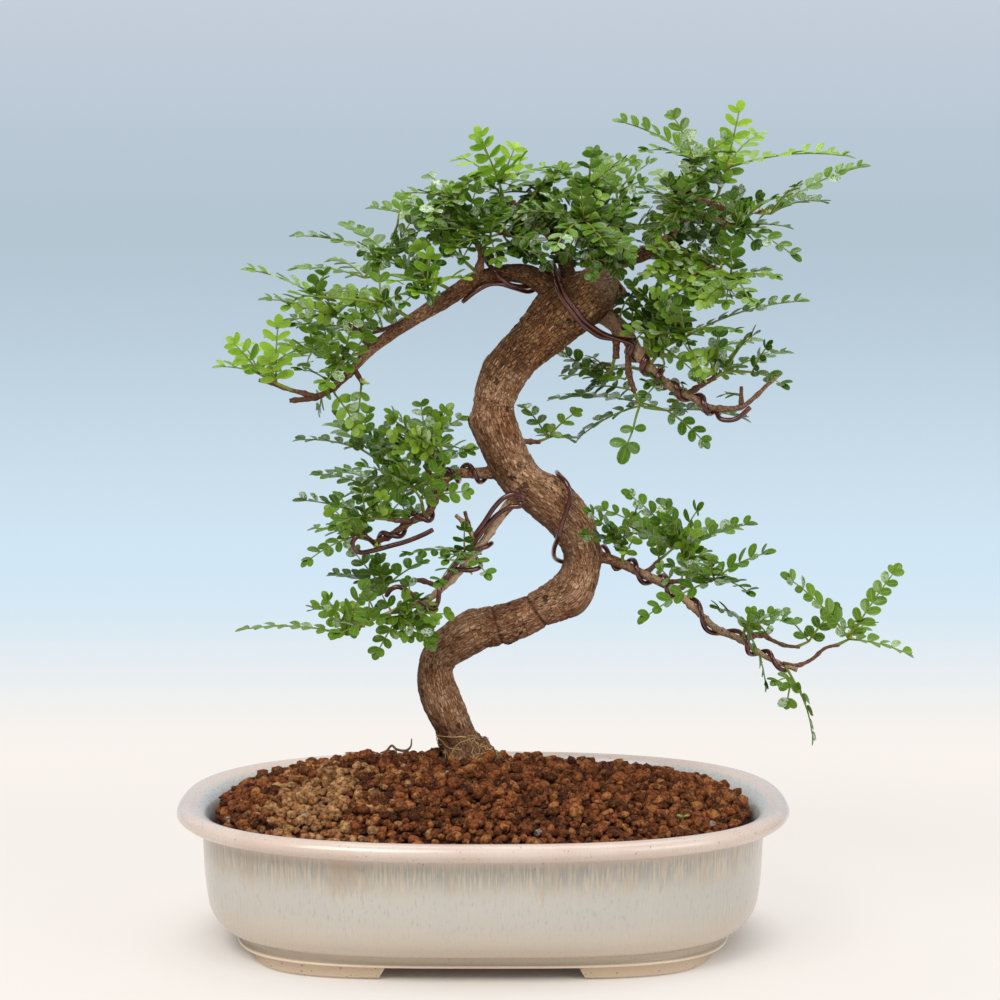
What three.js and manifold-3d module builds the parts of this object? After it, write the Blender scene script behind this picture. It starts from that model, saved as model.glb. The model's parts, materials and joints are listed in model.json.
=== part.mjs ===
// Japanese pepper bonsai in an oval glazed pot.
//
// Millimetres, +Z up. The origin is on the table, below the middle of the whole plant and pot.
// The branches reach further right than left, so the pot stands a little left of the origin.
//
// The tree is laid out as a grower draws it, from the front. A point is given as
// [x, z, depth]: x and z in the upright plane through the middle of the pot, and depth as the
// distance behind that plane (negative: towards the front). A point that lies in front of or
// behind the plane slides along its own line of sight, so the front view stays the drawn one.

import * as THREE from 'three';
import { mergeVertices } from 'three/addons/utils/BufferGeometryUtils.js';
import Module from 'manifold-3d';

const wasm = await Module();
wasm.setup();

// Driving dimensions.
const POT_X = -33.5;
const EYE = { x: 9.2, y: -1400, z: 325.6 };
const SIDES = 28;
const OVAL_POWER = 2.5;
const CLEARANCE = 0.35;

// The pot's cross-section, as [half length, half depth, height]: out from under the foot band,
// up the wall, round the rolled lip and down the inside to the floor.
const POT_PROFILE = [
  [133.5, 100.5, 6.0], [136.0, 102.5, 9.6], [140.0, 105.5, 10.4], [148.0, 112.0, 19.0],
  [151.5, 116.5, 36.0], [152.8, 118.6, 66.2], [161.0, 126.5, 66.9], [166.0, 131.2, 72.0],
  [161.0, 126.2, 77.6], [151.5, 117.0, 73.5], [146.5, 112.0, 64.0], [144.5, 110.0, 34.0],
  [136.0, 102.0, 16.5], [126.0, 92.0, 13.0],
];
const POT_UNDERSIDE = 6.0;
const POT_FLOOR = 13.0;
const FOOT_RINGS = [[128.5, 96.5, 0], [133.0, 100.0, 6.6]];
const FOOT_GAP_FRONT = 50;
const FOOT_GAP_END = 38;
const FOOT_SLANT = 4;

const DRAIN_X = 70;
const DRAIN_RADIUS = 10;
const DRAIN_SIDES = 16;
const SCREEN_SIZE = 36;
const SCREEN_THICK = 1.6;
const SCREEN_SLOTS = 4;
const SCREEN_BAR = 3;

const SOIL_EDGE = 71;
const SOIL_MOUND = 27;
const SOIL_LEAN = 0.04;
const SOIL_LUMP = 1.7;
const SOIL_RINGS = 10;
const SOIL_TO_WALL = 0.9;

const WIRE_RADIUS = 1.0;
const WIRE_SIDES = 4;
const WIRE_STEPS_PER_TURN = 6;
const STEM_SIDES = 3;
const WIRE_OFF_WOOD = 0.6;

const LEAF_THICK = 0.7;
const LEAF_DROOP = 1.1;
const RIB_HALF = 0.7;
const LEAFLET_LENGTH = 9.0;
const LEAFLET_SWEEP = 0.62;
const PAIR_SPACING = 15;
const STEM_RADIUS = 1.4;
const TURNS_TRIED = [0, 6, -6, 12, -12, 18, -18, 25, -25];

// Colours of the materials.
const GLAZE = { color: 0xcdcbc4, roughness: 0.28, metalness: 0 };
const EARTH = { color: 0x6b3f26, roughness: 0.95, metalness: 0 };
const BARK = { color: 0x7d6148, roughness: 0.85, metalness: 0 };
const WIRE = { color: 0x3c2018, roughness: 0.35, metalness: 0.8 };
const MESH = { color: 0x26282a, roughness: 0.6, metalness: 0 };
const LEAF = { color: 0x2f6a2a, roughness: 0.35, metalness: 0 };
const YOUNG_LEAF = { color: 0x74ac3a, roughness: 0.4, metalness: 0 };
const DRY_WOOD = { color: 0x5c4a3a, roughness: 0.9, metalness: 0 };

// Trunk: each row is one ring, as [left x, left z, right x, right z, depth], read across the wood.
const TRUNK = [
  [-9, 54, 6, 54, 0], [-21, 84, 13, 84, 0], [-22.5, 95, 8.5, 94, 0], [-23.5, 103, 1, 101, -1],
  [-26, 111, -3, 109.5, -2], [-31, 120.5, -7, 118, -3], [-34.6, 130, -11, 128, -4],
  [-36, 140.5, -14.5, 137, -4], [-35, 150, -16.8, 143, -4], [-32.3, 158, -16, 147.4, -3],
  [-28, 164.2, -13.5, 149.6, -3], [-20, 171, -9.5, 151.6, -2], [-11, 177, -4, 154.4, -1],
  [2, 180, 3.5, 157.8, 0], [14, 183, 13, 160.3, 1], [27, 188.4, 26, 164.6, 3],
  [34.5, 193, 34.5, 169.8, 3], [39.4, 197.4, 44, 173.2, 4], [42, 201, 53, 176.4, 4],
  [43.4, 204, 58.6, 182.6, 4], [44.2, 206.4, 62, 191, 4], [44, 208.6, 64.2, 200, 4],
  [42.6, 212, 64.8, 209, 4], [38.8, 219, 62.4, 219.5, 4], [33.8, 224.4, 60, 229.5, 3],
  [25, 231.8, 53.4, 239, 2], [12.4, 241.8, 43, 249.6, 0], [6.4, 250.6, 31.5, 255.4, 0],
  [1, 261, 25.4, 263.6, -2], [-6, 275.4, 20.2, 276, -3], [-7.6, 283, 17.8, 283.4, -3],
  [-5.2, 290, 16.4, 289, -3], [-3.8, 300, 19.4, 296.6, -2], [0.6, 314, 27.4, 307.6, -1],
  [10.6, 326, 38.4, 317.4, 0], [21, 338, 50, 326, 1], [31.6, 351.4, 61.4, 335, 2],
  [47, 361, 70.4, 343.4, 3], [57, 364.4, 74.8, 346.6, 3], [66.2, 367.4, 77.6, 350.6, 3],
];
const TRUNK_SIDES = 9;
const STOUT_RADIUS = 3;
const TWIG_RADIUS = 2.25;

// Roots, boughs and twigs: rows of [x, z, depth, radius] along the middle of the wood.
const ROOTS = {
  right: [[-4, 106, -2, 8], [6, 99, -6, 6], [17, 92, -10, 4], [28, 84, -14, 2.5]],
  front: [[-14, 104, -6, 8], [-14, 97, -16, 6], [-16, 89, -27, 3]],
  back: [[-8, 105, 4, 8], [-4, 97, 15, 6], [0, 88, 27, 3]],
};
const BOUGHS = {
  upper_left: [
    [42, 350, 0, 7], [25, 360.5, -2, 5.6], [12, 362, -5, 4.9], [-5, 357, -8, 4.6],
    [-20, 348, -12, 4.4], [-38, 337, -15, 3.6], [-60, 321.5, -18, 2.8], [-76, 305, -20, 2.2],
    [-84, 298.5, -21, 1.9], [-92, 295, -22, 1.7], [-105, 293.5, -23, 1.3],
  ],
  upper_left_fork: [[-90, 295.5, -22, 1.6], [-97, 297.5, -23, 1.4], [-105, 299.5, -24, 1.2]],
  crown_right: [
    [52, 350, 8, 6.5], [66, 365, 14, 5], [84, 371, 12, 4.2], [98, 377, 6, 3.6],
    [104, 390, 0, 3.1], [110, 402, -4, 2.4], [114, 411, -6, 1.7],
  ],
  crown_side: [[104, 391, -1, 3], [119, 393, -8, 2.4], [131, 388, -12, 1.8]],
  crown_far: [[111, 403, -4, 2.2], [122, 399, 2, 1.8], [132, 395.5, 8, 1.5], [150, 394, 18, 1.1]],
  crown_left: [
    [46, 350, 4, 6], [44, 368, 10, 4.2], [38, 380, 10, 3.3], [28, 390, 6, 2.6], [17, 398, 2, 2],
    [10, 402, 0, 1.5],
  ],
  crown_middle: [[58, 356, 4, 5], [62, 374, 0, 3.6], [64, 388, -8, 2.6], [60, 400, -14, 1.8]],
  crown_back: [[66, 365, 14, 4], [72, 376, 28, 3], [74, 388, 44, 2.2], [73, 395, 56, 1.5]],
  crown_low: [[98, 377, 6, 3], [112, 372, -14, 2], [122, 367, -27, 1.4]],
  crown_twig: [[-4, 358, -8, 2.6], [-1, 372, -12, 1.9], [-6, 384, -18, 1.4]],
  mid_right: [
    [62, 342, 4, 6], [76, 330, 4, 4.4], [83, 320, 0, 3.6], [88, 314, -3, 3.2], [94, 307, -6, 2.6],
    [100, 302, -9, 2.4], [110, 297, -12, 2.2], [122, 290, -16, 1.9], [130, 289, -18, 1.7],
    [140, 290, -20, 1.5], [148, 296, -22, 1.3], [155, 303, -24, 1.2], [161, 308, -25, 1],
  ],
  mid_right_stub: [[111, 297, -12, 1.7], [119, 302, -14, 1.5], [126, 306, -15, 1.2]],
  mid_right_nub: [[140, 290, -20, 1.4], [140, 301, -17, 1]],
  mid_right_upper: [[76, 330, 4, 3], [91, 337, 10, 2], [104, 344, 14, 1.4]],
  mid_right_back: [[82, 321, 0, 2.6], [91, 318, 20, 1.8], [102, 316, 37, 1.3]],
  hanging_stub: [[70, 340, 4, 2.8], [72, 328, 4, 2.3], [72, 316, 0, 1.9]],
  mid_right_low: [[79, 326, 4, 2.2], [79, 308, 6, 1.8], [82, 298, 10, 1.5]],
  trunk_twig: [[12, 271, 2, 2], [22, 270.5, 10, 1.6], [31, 270, 14, 1.2]],
  mid_left: [
    [14, 254, -1, 4], [-3, 253.5, -4, 3.2], [-12, 253.5, -6, 2.8], [-18, 252, -7, 2.6],
    [-24, 245, -9, 2.4], [-30, 232, -12, 2.2], [-40, 227, -15, 2], [-52, 219, -18, 1.8],
    [-60, 216, -20, 1.4],
  ],
  mid_left_side: [[-18, 252, -7, 2.2], [-28, 250, -2, 1.9], [-38, 249, 4, 1.5]],
  mid_left_up: [[-27, 250, -2, 1.5], [-32, 258, -4, 1.2]],
  mid_left_front: [[-39, 227.5, -15, 1.7], [-52, 229, -26, 1.2]],
  low_left: [
    [26, 246, -2, 4], [14, 236, -5, 3.2], [8, 228, -8, 2.6], [0, 216, -11, 2.3],
    [-14, 199, -15, 2.2], [-20, 193, -17, 2], [-33, 183, -20, 1.8], [-45, 180, -23, 1.6],
    [-55, 176, -25, 1.2],
  ],
  low_left_stub: [[-3, 212, -12, 1.8], [-8, 224, -14, 1.4], [-15, 231, -15, 1.1]],
  low_left_nub: [[-7, 222, -14, 1.3], [-10, 233, -12, 1]],
  low_left_back: [[-22, 191, -17, 1.7], [-36, 195, -6, 1.3], [-45, 190, 3, 1]],
  low_right: [
    [52, 211, 4, 5], [63, 208, 2, 3.3], [70, 206, 0, 2.9], [78, 203, -3, 2.8], [88, 198, -6, 2.6],
    [97, 194, -8, 2.5], [104, 190, -10, 2.3], [115, 180, -13, 2.1], [127, 169, -16, 2],
    [142, 162, -19, 1.8], [150, 156, -20, 1.6], [158, 151.5, -21, 1.4], [172, 146, -23, 1.1],
  ],
  low_right_end: [
    [164, 149.5, -22, 1.4], [172, 148.5, -21, 1.2], [180, 152, -20, 1.1], [187, 158, -20, 1],
    [195, 160, -20, 0.9],
  ],
  low_right_upper: [
    [141, 162.5, -19, 1.5], [152, 165, -12, 1.3], [158, 162, -6, 1.2], [165, 159, -2, 1.1],
    [173, 158, 1, 0.9],
  ],
  low_right_twig: [[104, 190, -10, 1.7], [111, 193, -4, 1.3], [111, 201, 2, 1.1]],
  low_right_back: [[88, 198, -6, 1.8], [96, 205, 12, 1.2]],
  low_right_front: [[97, 194, -8, 1.6], [110, 195, -21, 1.2]],
};

// Leafy shoots. stem rows are [x, z, depth]; a leaf is [stem row, tip x, tip z, tip depth, face],
// with face as the angle in degrees by which its upper side tips towards the front.
const SHOOTS = {
  left_tip: {
    stem: [[-103, 299, -24], [-112, 303, -26], [-121, 308, -27]],
    leaves: [[2, -147, 312, -38, 45], [2, -139, 328.5, -26, 50], [1, -110, 341, -31, 80]],
    young: true,
  },
  left_twig_high: {
    stem: [[-60, 321.5, -18], [-66, 330, -19], [-80, 339, -21]],
    leaves: [[2, -122, 348.5, -30, 40], [1, -112, 332, 4, 35]],
  },
  left_front_low: {
    stem: [[-60, 321, -18], [-71, 318, -29], [-80, 315, -38]],
    leaves: [[2, -112, 325, -58, 45], [1, -88, 300, -66, 60]],
  },
  left_back_low: {
    stem: [[-70, 311, -19], [-84, 317, -4], [-92, 319, 6]],
    leaves: [[2, -118, 327, 30, 35]],
  },
  left_front_high: {
    stem: [[-38, 337, -15], [-52, 345, -30], [-72, 349, -44], [-90, 350.5, -52]],
    leaves: [[3, -131, 366, -64, 40], [3, -108, 344, -92, 45]],
  },
  left_high: {
    stem: [[-24, 345.5, -13], [-36, 361, -14], [-50, 370, -16]],
    leaves: [[2, -105, 382.5, -24, 35], [2, -76, 388, 14, 40]],
  },
  left_back_high: {
    stem: [[-14, 351.5, -10], [-30, 358, 12], [-48, 360, 34], [-64, 358, 48]],
    leaves: [[3, -106, 362, 60, 30], [3, -84, 366, 90, 35]],
  },
  crown_left_back: {
    stem: [[-3, 362, -8], [-14, 372, 8], [-26, 386, 21]],
    leaves: [[2, -64, 396, 26, 35], [2, -46, 402, 54, 40]],
  },
  crown_left_front: {
    stem: [[-5, 382, -17], [-8, 388, -20], [-14, 402, -25]],
    leaves: [[2, -48, 404.5, -34, 40], [2, -32, 415, -8, 45]],
  },
  left_bright: {
    stem: [[-26, 344.5, -13], [-29, 352, -27], [-30, 356, -35]],
    leaves: [[2, -28, 378, -44, 75], [2, -52, 358, -64, 55]],
    young: true,
  },
  crown_upright_left: {
    stem: [[11, 401.5, 0], [9, 410, -2]],
    leaves: [[1, -4, 441, -8, 82], [1, 24, 424, -22, 60]],
    young: true,
  },
  crown_left_low: {
    stem: [[28, 390, 6], [14, 385, -12], [4, 382, -26]],
    leaves: [[2, -20, 374, -62, 55], [2, 12, 396, -66, 60]],
  },
  crown_left_rear: {
    stem: [[38, 380, 10], [28, 384, 30], [16, 387, 48]],
    leaves: [[2, -24, 393, 60, 35], [2, 4, 382, 92, 30]],
  },
  crown_top: {
    stem: [[60, 399, -14], [57, 408, -18]],
    leaves: [[1, 34, 416, -44, 50], [1, 60, 428, -46, 60]],
  },
  crown_front: {
    stem: [[64, 388, -8], [58, 390, -26], [54, 391, -38]],
    leaves: [[2, 18, 396, -56, 55], [2, 38, 376, -84, 65]],
  },
  crown_rear: {
    stem: [[73, 394, 54], [72, 403, 64]],
    leaves: [[1, 42, 412, 74, 40], [1, 60, 396, 110, 30], [1, 102, 404, 96, 35]],
  },
  crown_right_top: {
    stem: [[114, 410, -6], [114, 422, -9]],
    leaves: [[1, 69, 444.5, -18, 50], [1, 104, 441, 18, 50], [1, 134, 426, -46, 55]],
  },
  crown_upright_right: {
    stem: [[124, 398, 3], [128, 408, 1], [131, 418, -1]],
    leaves: [[2, 139, 455, -8, 85], [2, 201, 423.5, 4, 40], [2, 150, 436, 30, 50]],
    young: true,
  },
  crown_far_right: {
    stem: [[147, 394, 16.5], [155, 393, 20]],
    leaves: [[1, 209, 419, 30, 40], [1, 186, 398, 56, 35]],
  },
  crown_right_side: {
    stem: [[129, 388.5, -11], [138, 387, -15]],
    leaves: [[1, 168, 386, -18, 40], [1, 172, 369, -40, 45]],
  },
  crown_low_front: {
    stem: [[120, 368, -25], [134, 362, -42]],
    leaves: [[1, 162, 360, -62, 50], [1, 112, 350, -76, 60]],
  },
  crown_low_rear: {
    stem: [[98, 377, 6], [110, 380, 22], [118, 381, 32]],
    leaves: [[2, 154, 384, 48, 35], [2, 138, 364, 72, 30]],
  },
  right_high: {
    stem: [[101, 342.5, 13], [109, 346, 16]],
    leaves: [[1, 144, 348, 14, 40], [1, 157, 363, 38, 40]],
  },
  right_rear: {
    stem: [[99, 316.5, 33], [114, 314, 52]],
    leaves: [[1, 152, 324, 68, 30], [1, 132, 302, 92, 30]],
  },
  right_front: {
    stem: [[90, 312, -4], [98, 322, -20], [109, 328, -34]],
    leaves: [[2, 177, 348.5, -50, 45], [2, 140, 332, -82, 55]],
  },
  right_tip: {
    stem: [[124, 305, -15], [132, 309, -17], [146, 309, -23]],
    leaves: [[1, 169, 319, -2, 40], [1, 150, 332, -44, 50]],
    young: true,
  },
  right_low: {
    stem: [[82, 297, 10], [86, 290, 13], [100, 287, 17]],
    leaves: [[2, 146, 280.5, 28, 40], [1, 76, 261, 0, 75], [1, 50, 270, 26, 55]],
  },
  behind_trunk: {
    stem: [[72, 319, 0], [69, 309, 12], [63, 304, 24]],
    leaves: [[2, 36, 320, 40, 50], [1, 92, 304, 48, 40]],
  },
  trunk_twig_leaves: {
    stem: [[29, 270, 13], [35, 272, 18]],
    leaves: [[1, 54, 288, 24, 55], [1, 20, 290, 40, 55]],
  },
  midleft_side: {
    stem: [[-36, 249, 3], [-45, 253, 8], [-66, 266, 14]],
    leaves: [[2, -104, 270.5, 22, 35], [2, -82, 288, -2, 50]],
  },
  midleft_up: {
    stem: [[-31, 256, -4], [-31, 269, -7]],
    leaves: [[1, -54, 289, -20, 50], [1, -16, 292, -12, 60]],
  },
  midleft_down: {
    stem: [[-31, 249.7, 0], [-42, 241, 12], [-58, 243, 22]],
    leaves: [[2, -95, 252, 34, 35], [2, -80, 236, 58, 35]],
  },
  midleft_front: {
    stem: [[-50, 229, -25], [-64, 230, -36]],
    leaves: [[1, -104, 240, -46, 45], [1, -84, 224, -70, 50]],
  },
  midleft_tip: {
    stem: [[-58, 216.5, -20], [-70, 219.5, -21]],
    leaves: [[1, -96, 223, -6, 40], [1, -99.5, 203, -34, 45]],
  },
  midleft_mass: {
    stem: [[-32, 230.5, -13], [-34, 240, -24], [-38, 246, -30]],
    leaves: [[2, -70, 260, -46, 55], [2, -12, 252, -56, 60]],
  },
  midleft_back: {
    stem: [[-28, 250, -2], [-36, 244, 18], [-48, 243, 38]],
    leaves: [[2, -84, 252, 74, 30], [2, -44, 258, 84, 35]],
  },
  lowleft_tip: {
    stem: [[-54, 176.5, -25], [-62, 173, -28], [-74, 165.5, -29]],
    leaves: [[2, -136, 168, -40, 35], [1, -96, 178, 6, 35]],
  },
  lowleft_hanging: {
    stem: [[-44, 180.5, -23], [-46, 176, -31]],
    leaves: [[1, -26, 157, -42, 70], [1, -30, 186, -66, 60]],
  },
  lowleft_back: {
    stem: [[-43, 191, 1], [-54, 190, 11]],
    leaves: [[1, -86, 197, 24, 40], [1, -58, 208, 36, 40]],
  },
  lowleft_high: {
    stem: [[-7, 207, -13], [-10, 211, -22]],
    leaves: [[1, -46, 209, -38, 45], [1, -26, 192, -60, 50]],
  },
  lowright_back: {
    stem: [[94, 204, 9], [103, 211, 28]],
    leaves: [[1, 60, 234, 44, 45], [1, 142, 222, 50, 40]],
  },
  lowright_high: {
    stem: [[111, 200, 1], [108, 212, 4]],
    leaves: [[1, 75, 244.5, 6, 50], [1, 150, 226, 8, 45]],
  },
  lowright_front: {
    stem: [[108, 195, -20], [126, 196, -34]],
    leaves: [[1, 160, 212.5, -46, 50], [1, 148, 188, -76, 50]],
  },
  lowright_knee: {
    stem: [[142, 162, -19], [143, 170, -29]],
    leaves: [[1, 170, 174, -50, 65], [1, 155, 134, -44, 60]],
  },
  lowright_hanging: {
    stem: [[165, 149, -22], [169, 142, -25]],
    leaves: [[1, 181, 104, -32, 50], [1, 152, 124, -14, 60]],
  },
  lowright_end: {
    stem: [[193, 159.5, -20], [200, 163, -21]],
    leaves: [[1, 162, 200, -32, 55], [1, 228, 205, -24, 60], [1, 236, 153, -20, 45]],
    young: true,
  },
  lowright_upper: {
    stem: [[171, 158, 0.5], [178, 161, 4]],
    leaves: [[1, 192, 178, 14, 60]],
  },
};

// A point of the drawn view, moved to its depth along the line of sight.
function seen(x, z, depth) {
  const reach = 1 + depth / -EYE.y;
  return new THREE.Vector3(EYE.x + (x - EYE.x) * reach, depth, EYE.z + (z - EYE.z) * reach);
}

// A repeatable stream of draws between 0 and 1.
function draws(seed) {
  let state = seed;
  return () => {
    state = (Math.imul(state, 1664525) + 1013904223) >>> 0;
    return state / 4294967296;
  };
}

// Solids: a closed triangle mesh from points and faces, and back to a geometry.
function solid(points, faces) {
  const vertProperties = new Float32Array(points.flatMap((p) => [p.x, p.y, p.z]));
  return new wasm.Manifold(new wasm.Mesh({ numProp: 3, vertProperties, triVerts: new Uint32Array(faces) }));
}

function fromGeometry(geometry) {
  const bare = geometry.clone();
  bare.deleteAttribute('normal');
  bare.deleteAttribute('uv');
  const merged = mergeVertices(bare, 1e-4);
  const vertProperties = new Float32Array(merged.attributes.position.array);
  return new wasm.Manifold(
    new wasm.Mesh({ numProp: 3, vertProperties, triVerts: new Uint32Array(merged.index.array) }),
  );
}

function toGeometry(body) {
  const mesh = body.getMesh();
  const geometry = new THREE.BufferGeometry();
  geometry.setAttribute('position', new THREE.BufferAttribute(new Float32Array(mesh.vertProperties), 3));
  geometry.setIndex(new THREE.BufferAttribute(new Uint32Array(mesh.triVerts), 1));
  geometry.computeVertexNormals();
  return geometry;
}

// Cutting a neighbour clear takes a swollen body: wider on its flat sides and longer at its ends.
const swell = (grow, sides) => grow / Math.cos(Math.PI / sides);

function lengthened(points, grow) {
  const longer = points.map((point) => point.clone());
  const push = (end, inner) => longer[end].add(points[end].clone().sub(points[inner]).setLength(grow));
  push(0, 1);
  push(points.length - 1, points.length - 2);
  return longer;
}

const join = (bodies) => bodies.reduce((sum, body) => sum.add(body));
const largest = (body) => body.decompose().sort((a, b) => b.volume() - a.volume())[0];

// A skin over rings of equal point counts, closed at both ends round their middles.
function loft(rings) {
  const count = rings[0].length;
  const points = rings.flat();
  const faces = [];
  for (let r = 0; r + 1 < rings.length; r += 1) {
    for (let i = 0; i < count; i += 1) {
      const a = r * count + i;
      const b = r * count + ((i + 1) % count);
      faces.push(a, b, b + count, a, b + count, a + count);
    }
  }
  const lastRing = (rings.length - 1) * count;
  const middle = (ring) => ring.reduce((sum, p) => sum.add(p), new THREE.Vector3()).divideScalar(count);
  points.push(middle(rings[0]), middle(rings.at(-1)));
  for (let i = 0; i < count; i += 1) {
    const next = (i + 1) % count;
    faces.push(points.length - 2, next, i, points.length - 1, lastRing + i, lastRing + next);
  }
  return solid(points, faces);
}

// A round bar of changing radius along points, its rings carried forward without twist.
function tube(points, radii, sides) {
  const side = new THREE.Vector3(0.13, 0.95, 0.29);
  const rings = points.map((point, i) => {
    const tangent = points[Math.min(i + 1, points.length - 1)].clone()
      .sub(points[Math.max(i - 1, 0)]).normalize();
    side.addScaledVector(tangent, -side.dot(tangent)).normalize();
    const up = tangent.clone().cross(side);
    return Array.from({ length: sides }, (_, k) => {
      const turn = (2 * Math.PI * k) / sides;
      return point.clone()
        .addScaledVector(side, radii[i] * Math.cos(turn))
        .addScaledVector(up, radii[i] * Math.sin(turn));
    });
  });
  return loft(rings);
}

function oval(halfLength, halfDepth, height) {
  return Array.from({ length: SIDES }, (_, i) => {
    const turn = (2 * Math.PI * i) / SIDES;
    const bulge = (v) => Math.sign(v) * Math.abs(v) ** (2 / OVAL_POWER);
    return new THREE.Vector3(halfLength * bulge(Math.cos(turn)), halfDepth * bulge(Math.sin(turn)), height);
  });
}

function block(lengthX, lengthY, lengthZ, x, y, z) {
  return fromGeometry(new THREE.BoxGeometry(lengthX, lengthY, lengthZ).translate(x, y, z));
}

// Pot: turned body, feet left standing between slanted gaps, two drain holes.
function slantedGap(halfTop, reach, alongY) {
  const halfFoot = halfTop + FOOT_SLANT;
  const below = -1;
  const outline = new THREE.Shape([
    new THREE.Vector2(-halfFoot, below), new THREE.Vector2(halfFoot, below),
    new THREE.Vector2(halfTop, POT_UNDERSIDE), new THREE.Vector2(-halfTop, POT_UNDERSIDE),
  ]);
  const bar = new THREE.ExtrudeGeometry(outline, { depth: 2 * reach, bevelEnabled: false });
  bar.translate(0, 0, -reach).rotateX(Math.PI / 2);
  return fromGeometry(alongY ? bar : bar.rotateZ(Math.PI / 2));
}

function makePot() {
  const body = loft(POT_PROFILE.map((row) => oval(...row)));
  const footBlock = loft(FOOT_RINGS.map((row) => oval(...row)));
  const across = 2 * FOOT_RINGS[0][0];
  const feet = footBlock
    .subtract(slantedGap(FOOT_GAP_FRONT, across, true))
    .subtract(slantedGap(FOOT_GAP_END, across, false));
  const drains = [-DRAIN_X, DRAIN_X].map((x) => {
    const bore = new THREE.CylinderGeometry(DRAIN_RADIUS, DRAIN_RADIUS, 4 * POT_FLOOR, DRAIN_SIDES);
    return fromGeometry(bore.rotateX(Math.PI / 2).translate(x, 0, 0));
  });
  return body.add(feet).subtract(join(drains));
}

// Drain screen: a square plastic plate with a row of slots.
function makeScreen(x) {
  const height = POT_FLOOR + CLEARANCE + SCREEN_THICK / 2;
  const pitch = (SCREEN_SIZE - SCREEN_BAR) / SCREEN_SLOTS;
  const slotLength = SCREEN_SIZE - 2 * SCREEN_BAR;
  let plate = block(SCREEN_SIZE, SCREEN_SIZE, SCREEN_THICK, x, 0, height);
  for (let i = 0; i < SCREEN_SLOTS; i += 1) {
    const slotX = x + (i - (SCREEN_SLOTS - 1) / 2) * pitch;
    plate = plate.subtract(block(pitch - SCREEN_BAR, slotLength, 2 * SCREEN_THICK, slotX, 0, height));
  }
  return plate;
}

// Soil: fills the pot and rises to a low mound, its surface lumpy with coarse grains.
function makeSoil() {
  const draw = draws(7);
  const walls = POT_PROFILE.slice(-4).reverse().map(([a, b, z]) => [a - SOIL_TO_WALL, b - SOIL_TO_WALL, z]);
  walls[0][2] = POT_FLOOR + CLEARANCE;
  const [topLength, topDepth] = walls.at(-1);
  const rings = walls.map((row) => oval(...row));
  for (let r = 0; r < SOIL_RINGS; r += 1) {
    const part = 1 - r / SOIL_RINGS;
    const ring = oval(topLength * part, topDepth * part, 0).map((p) => {
      const height = SOIL_EDGE + SOIL_MOUND * (1 - part ** 3) - SOIL_LEAN * p.x * (1 - part * part);
      const lump = r === 0 ? -1 : (2 * draw() - 1) * SOIL_LUMP;
      const slide = r === 0 ? 0 : (2 * draw() - 1) * 0.02;
      return new THREE.Vector3(p.x * (1 + slide), p.y * (1 + slide), height + lump);
    });
    rings.push(ring);
  }
  const room = SCREEN_SIZE + 2;
  const pockets = [-DRAIN_X, DRAIN_X].map((x) => (
    block(room, room, 2 * SCREEN_THICK + 1, x, 0, POT_FLOOR + CLEARANCE)
  ));
  return loft(rings).subtract(join(pockets));
}

// Wood: trunk, roots and boughs as one body, or its swollen room.
function makeTrunk(grow) {
  const lefts = TRUNK.map(([x, z, , , depth]) => seen(x, z, depth));
  const rights = TRUNK.map(([, , x, z, depth]) => seen(x, z, depth));
  const middles = lengthened(lefts.map((left, row) => left.clone().lerp(rights[row], 0.5)), grow);
  const rings = middles.map((middle, row) => {
    const across = rights[row].clone().sub(lefts[row]).multiplyScalar(0.5);
    const radius = across.length() + swell(grow, TRUNK_SIDES);
    across.setLength(radius);
    return Array.from({ length: TRUNK_SIDES }, (_, k) => {
      const turn = (2 * Math.PI * k) / TRUNK_SIDES;
      const ridge = 1 + 0.05 * Math.sin(2 * turn + 0.4 * row) * Math.abs(Math.sin(turn));
      return middle.clone()
        .addScaledVector(across, Math.cos(turn) * ridge)
        .add(new THREE.Vector3(0, radius * Math.sin(turn) * ridge, 0));
    });
  });
  return loft(rings);
}

function makeBough(rows, grow, sides) {
  const points = lengthened(rows.map(([x, z, depth]) => seen(x, z, depth)), grow);
  return tube(points, rows.map((row) => row[3] + swell(grow, sides)), sides);
}

// Stout boughs are six-sided, thin ones four-sided and twigs three-sided.
function boughSides(rows) {
  const radius = rows[0][3];
  if (radius > STOUT_RADIUS) return 6;
  return radius > TWIG_RADIUS ? 4 : 3;
}

function makeWood(grow) {
  return join([
    makeTrunk(grow),
    ...Object.values(ROOTS).map((rows) => makeBough(rows, grow, 5)),
    ...Object.values(BOUGHS).map((rows) => makeBough(rows, grow, boughSides(rows))),
  ]);
}

// Training wire: free stretches are drawn points, coils wind along a bough from one share of its
// length to another, a wire's width off the wood.
function coil(boughName, from, to, turns, startTurn) {
  const rows = BOUGHS[boughName];
  const points = rows.map(([x, z, depth]) => seen(x, z, depth));
  const middle = new THREE.CatmullRomCurve3(points, false, 'centripetal');
  const steps = Math.round(turns * WIRE_STEPS_PER_TURN);
  const chord = Math.cos(Math.PI / WIRE_STEPS_PER_TURN);
  return Array.from({ length: steps + 1 }, (_, i) => {
    const share = from + ((to - from) * i) / steps;
    const place = share * (rows.length - 1);
    const row = Math.min(Math.floor(place), rows.length - 2);
    const radius = THREE.MathUtils.lerp(rows[row][3], rows[row + 1][3], place - row);
    const tangent = middle.getTangent(share);
    const down = new THREE.Vector3(0, 1, 0).cross(tangent).normalize();
    const behind = tangent.clone().cross(down);
    const turn = 2 * Math.PI * (startTurn + (turns * i) / steps);
    const off = (radius + WIRE_RADIUS + WIRE_OFF_WOOD) / chord;
    return middle.getPoint(share)
      .addScaledVector(down, off * Math.cos(turn))
      .addScaledVector(behind, off * Math.sin(turn));
  });
}

const route = (...rows) => rows.map(([x, z, depth]) => seen(x, z, depth));

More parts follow.
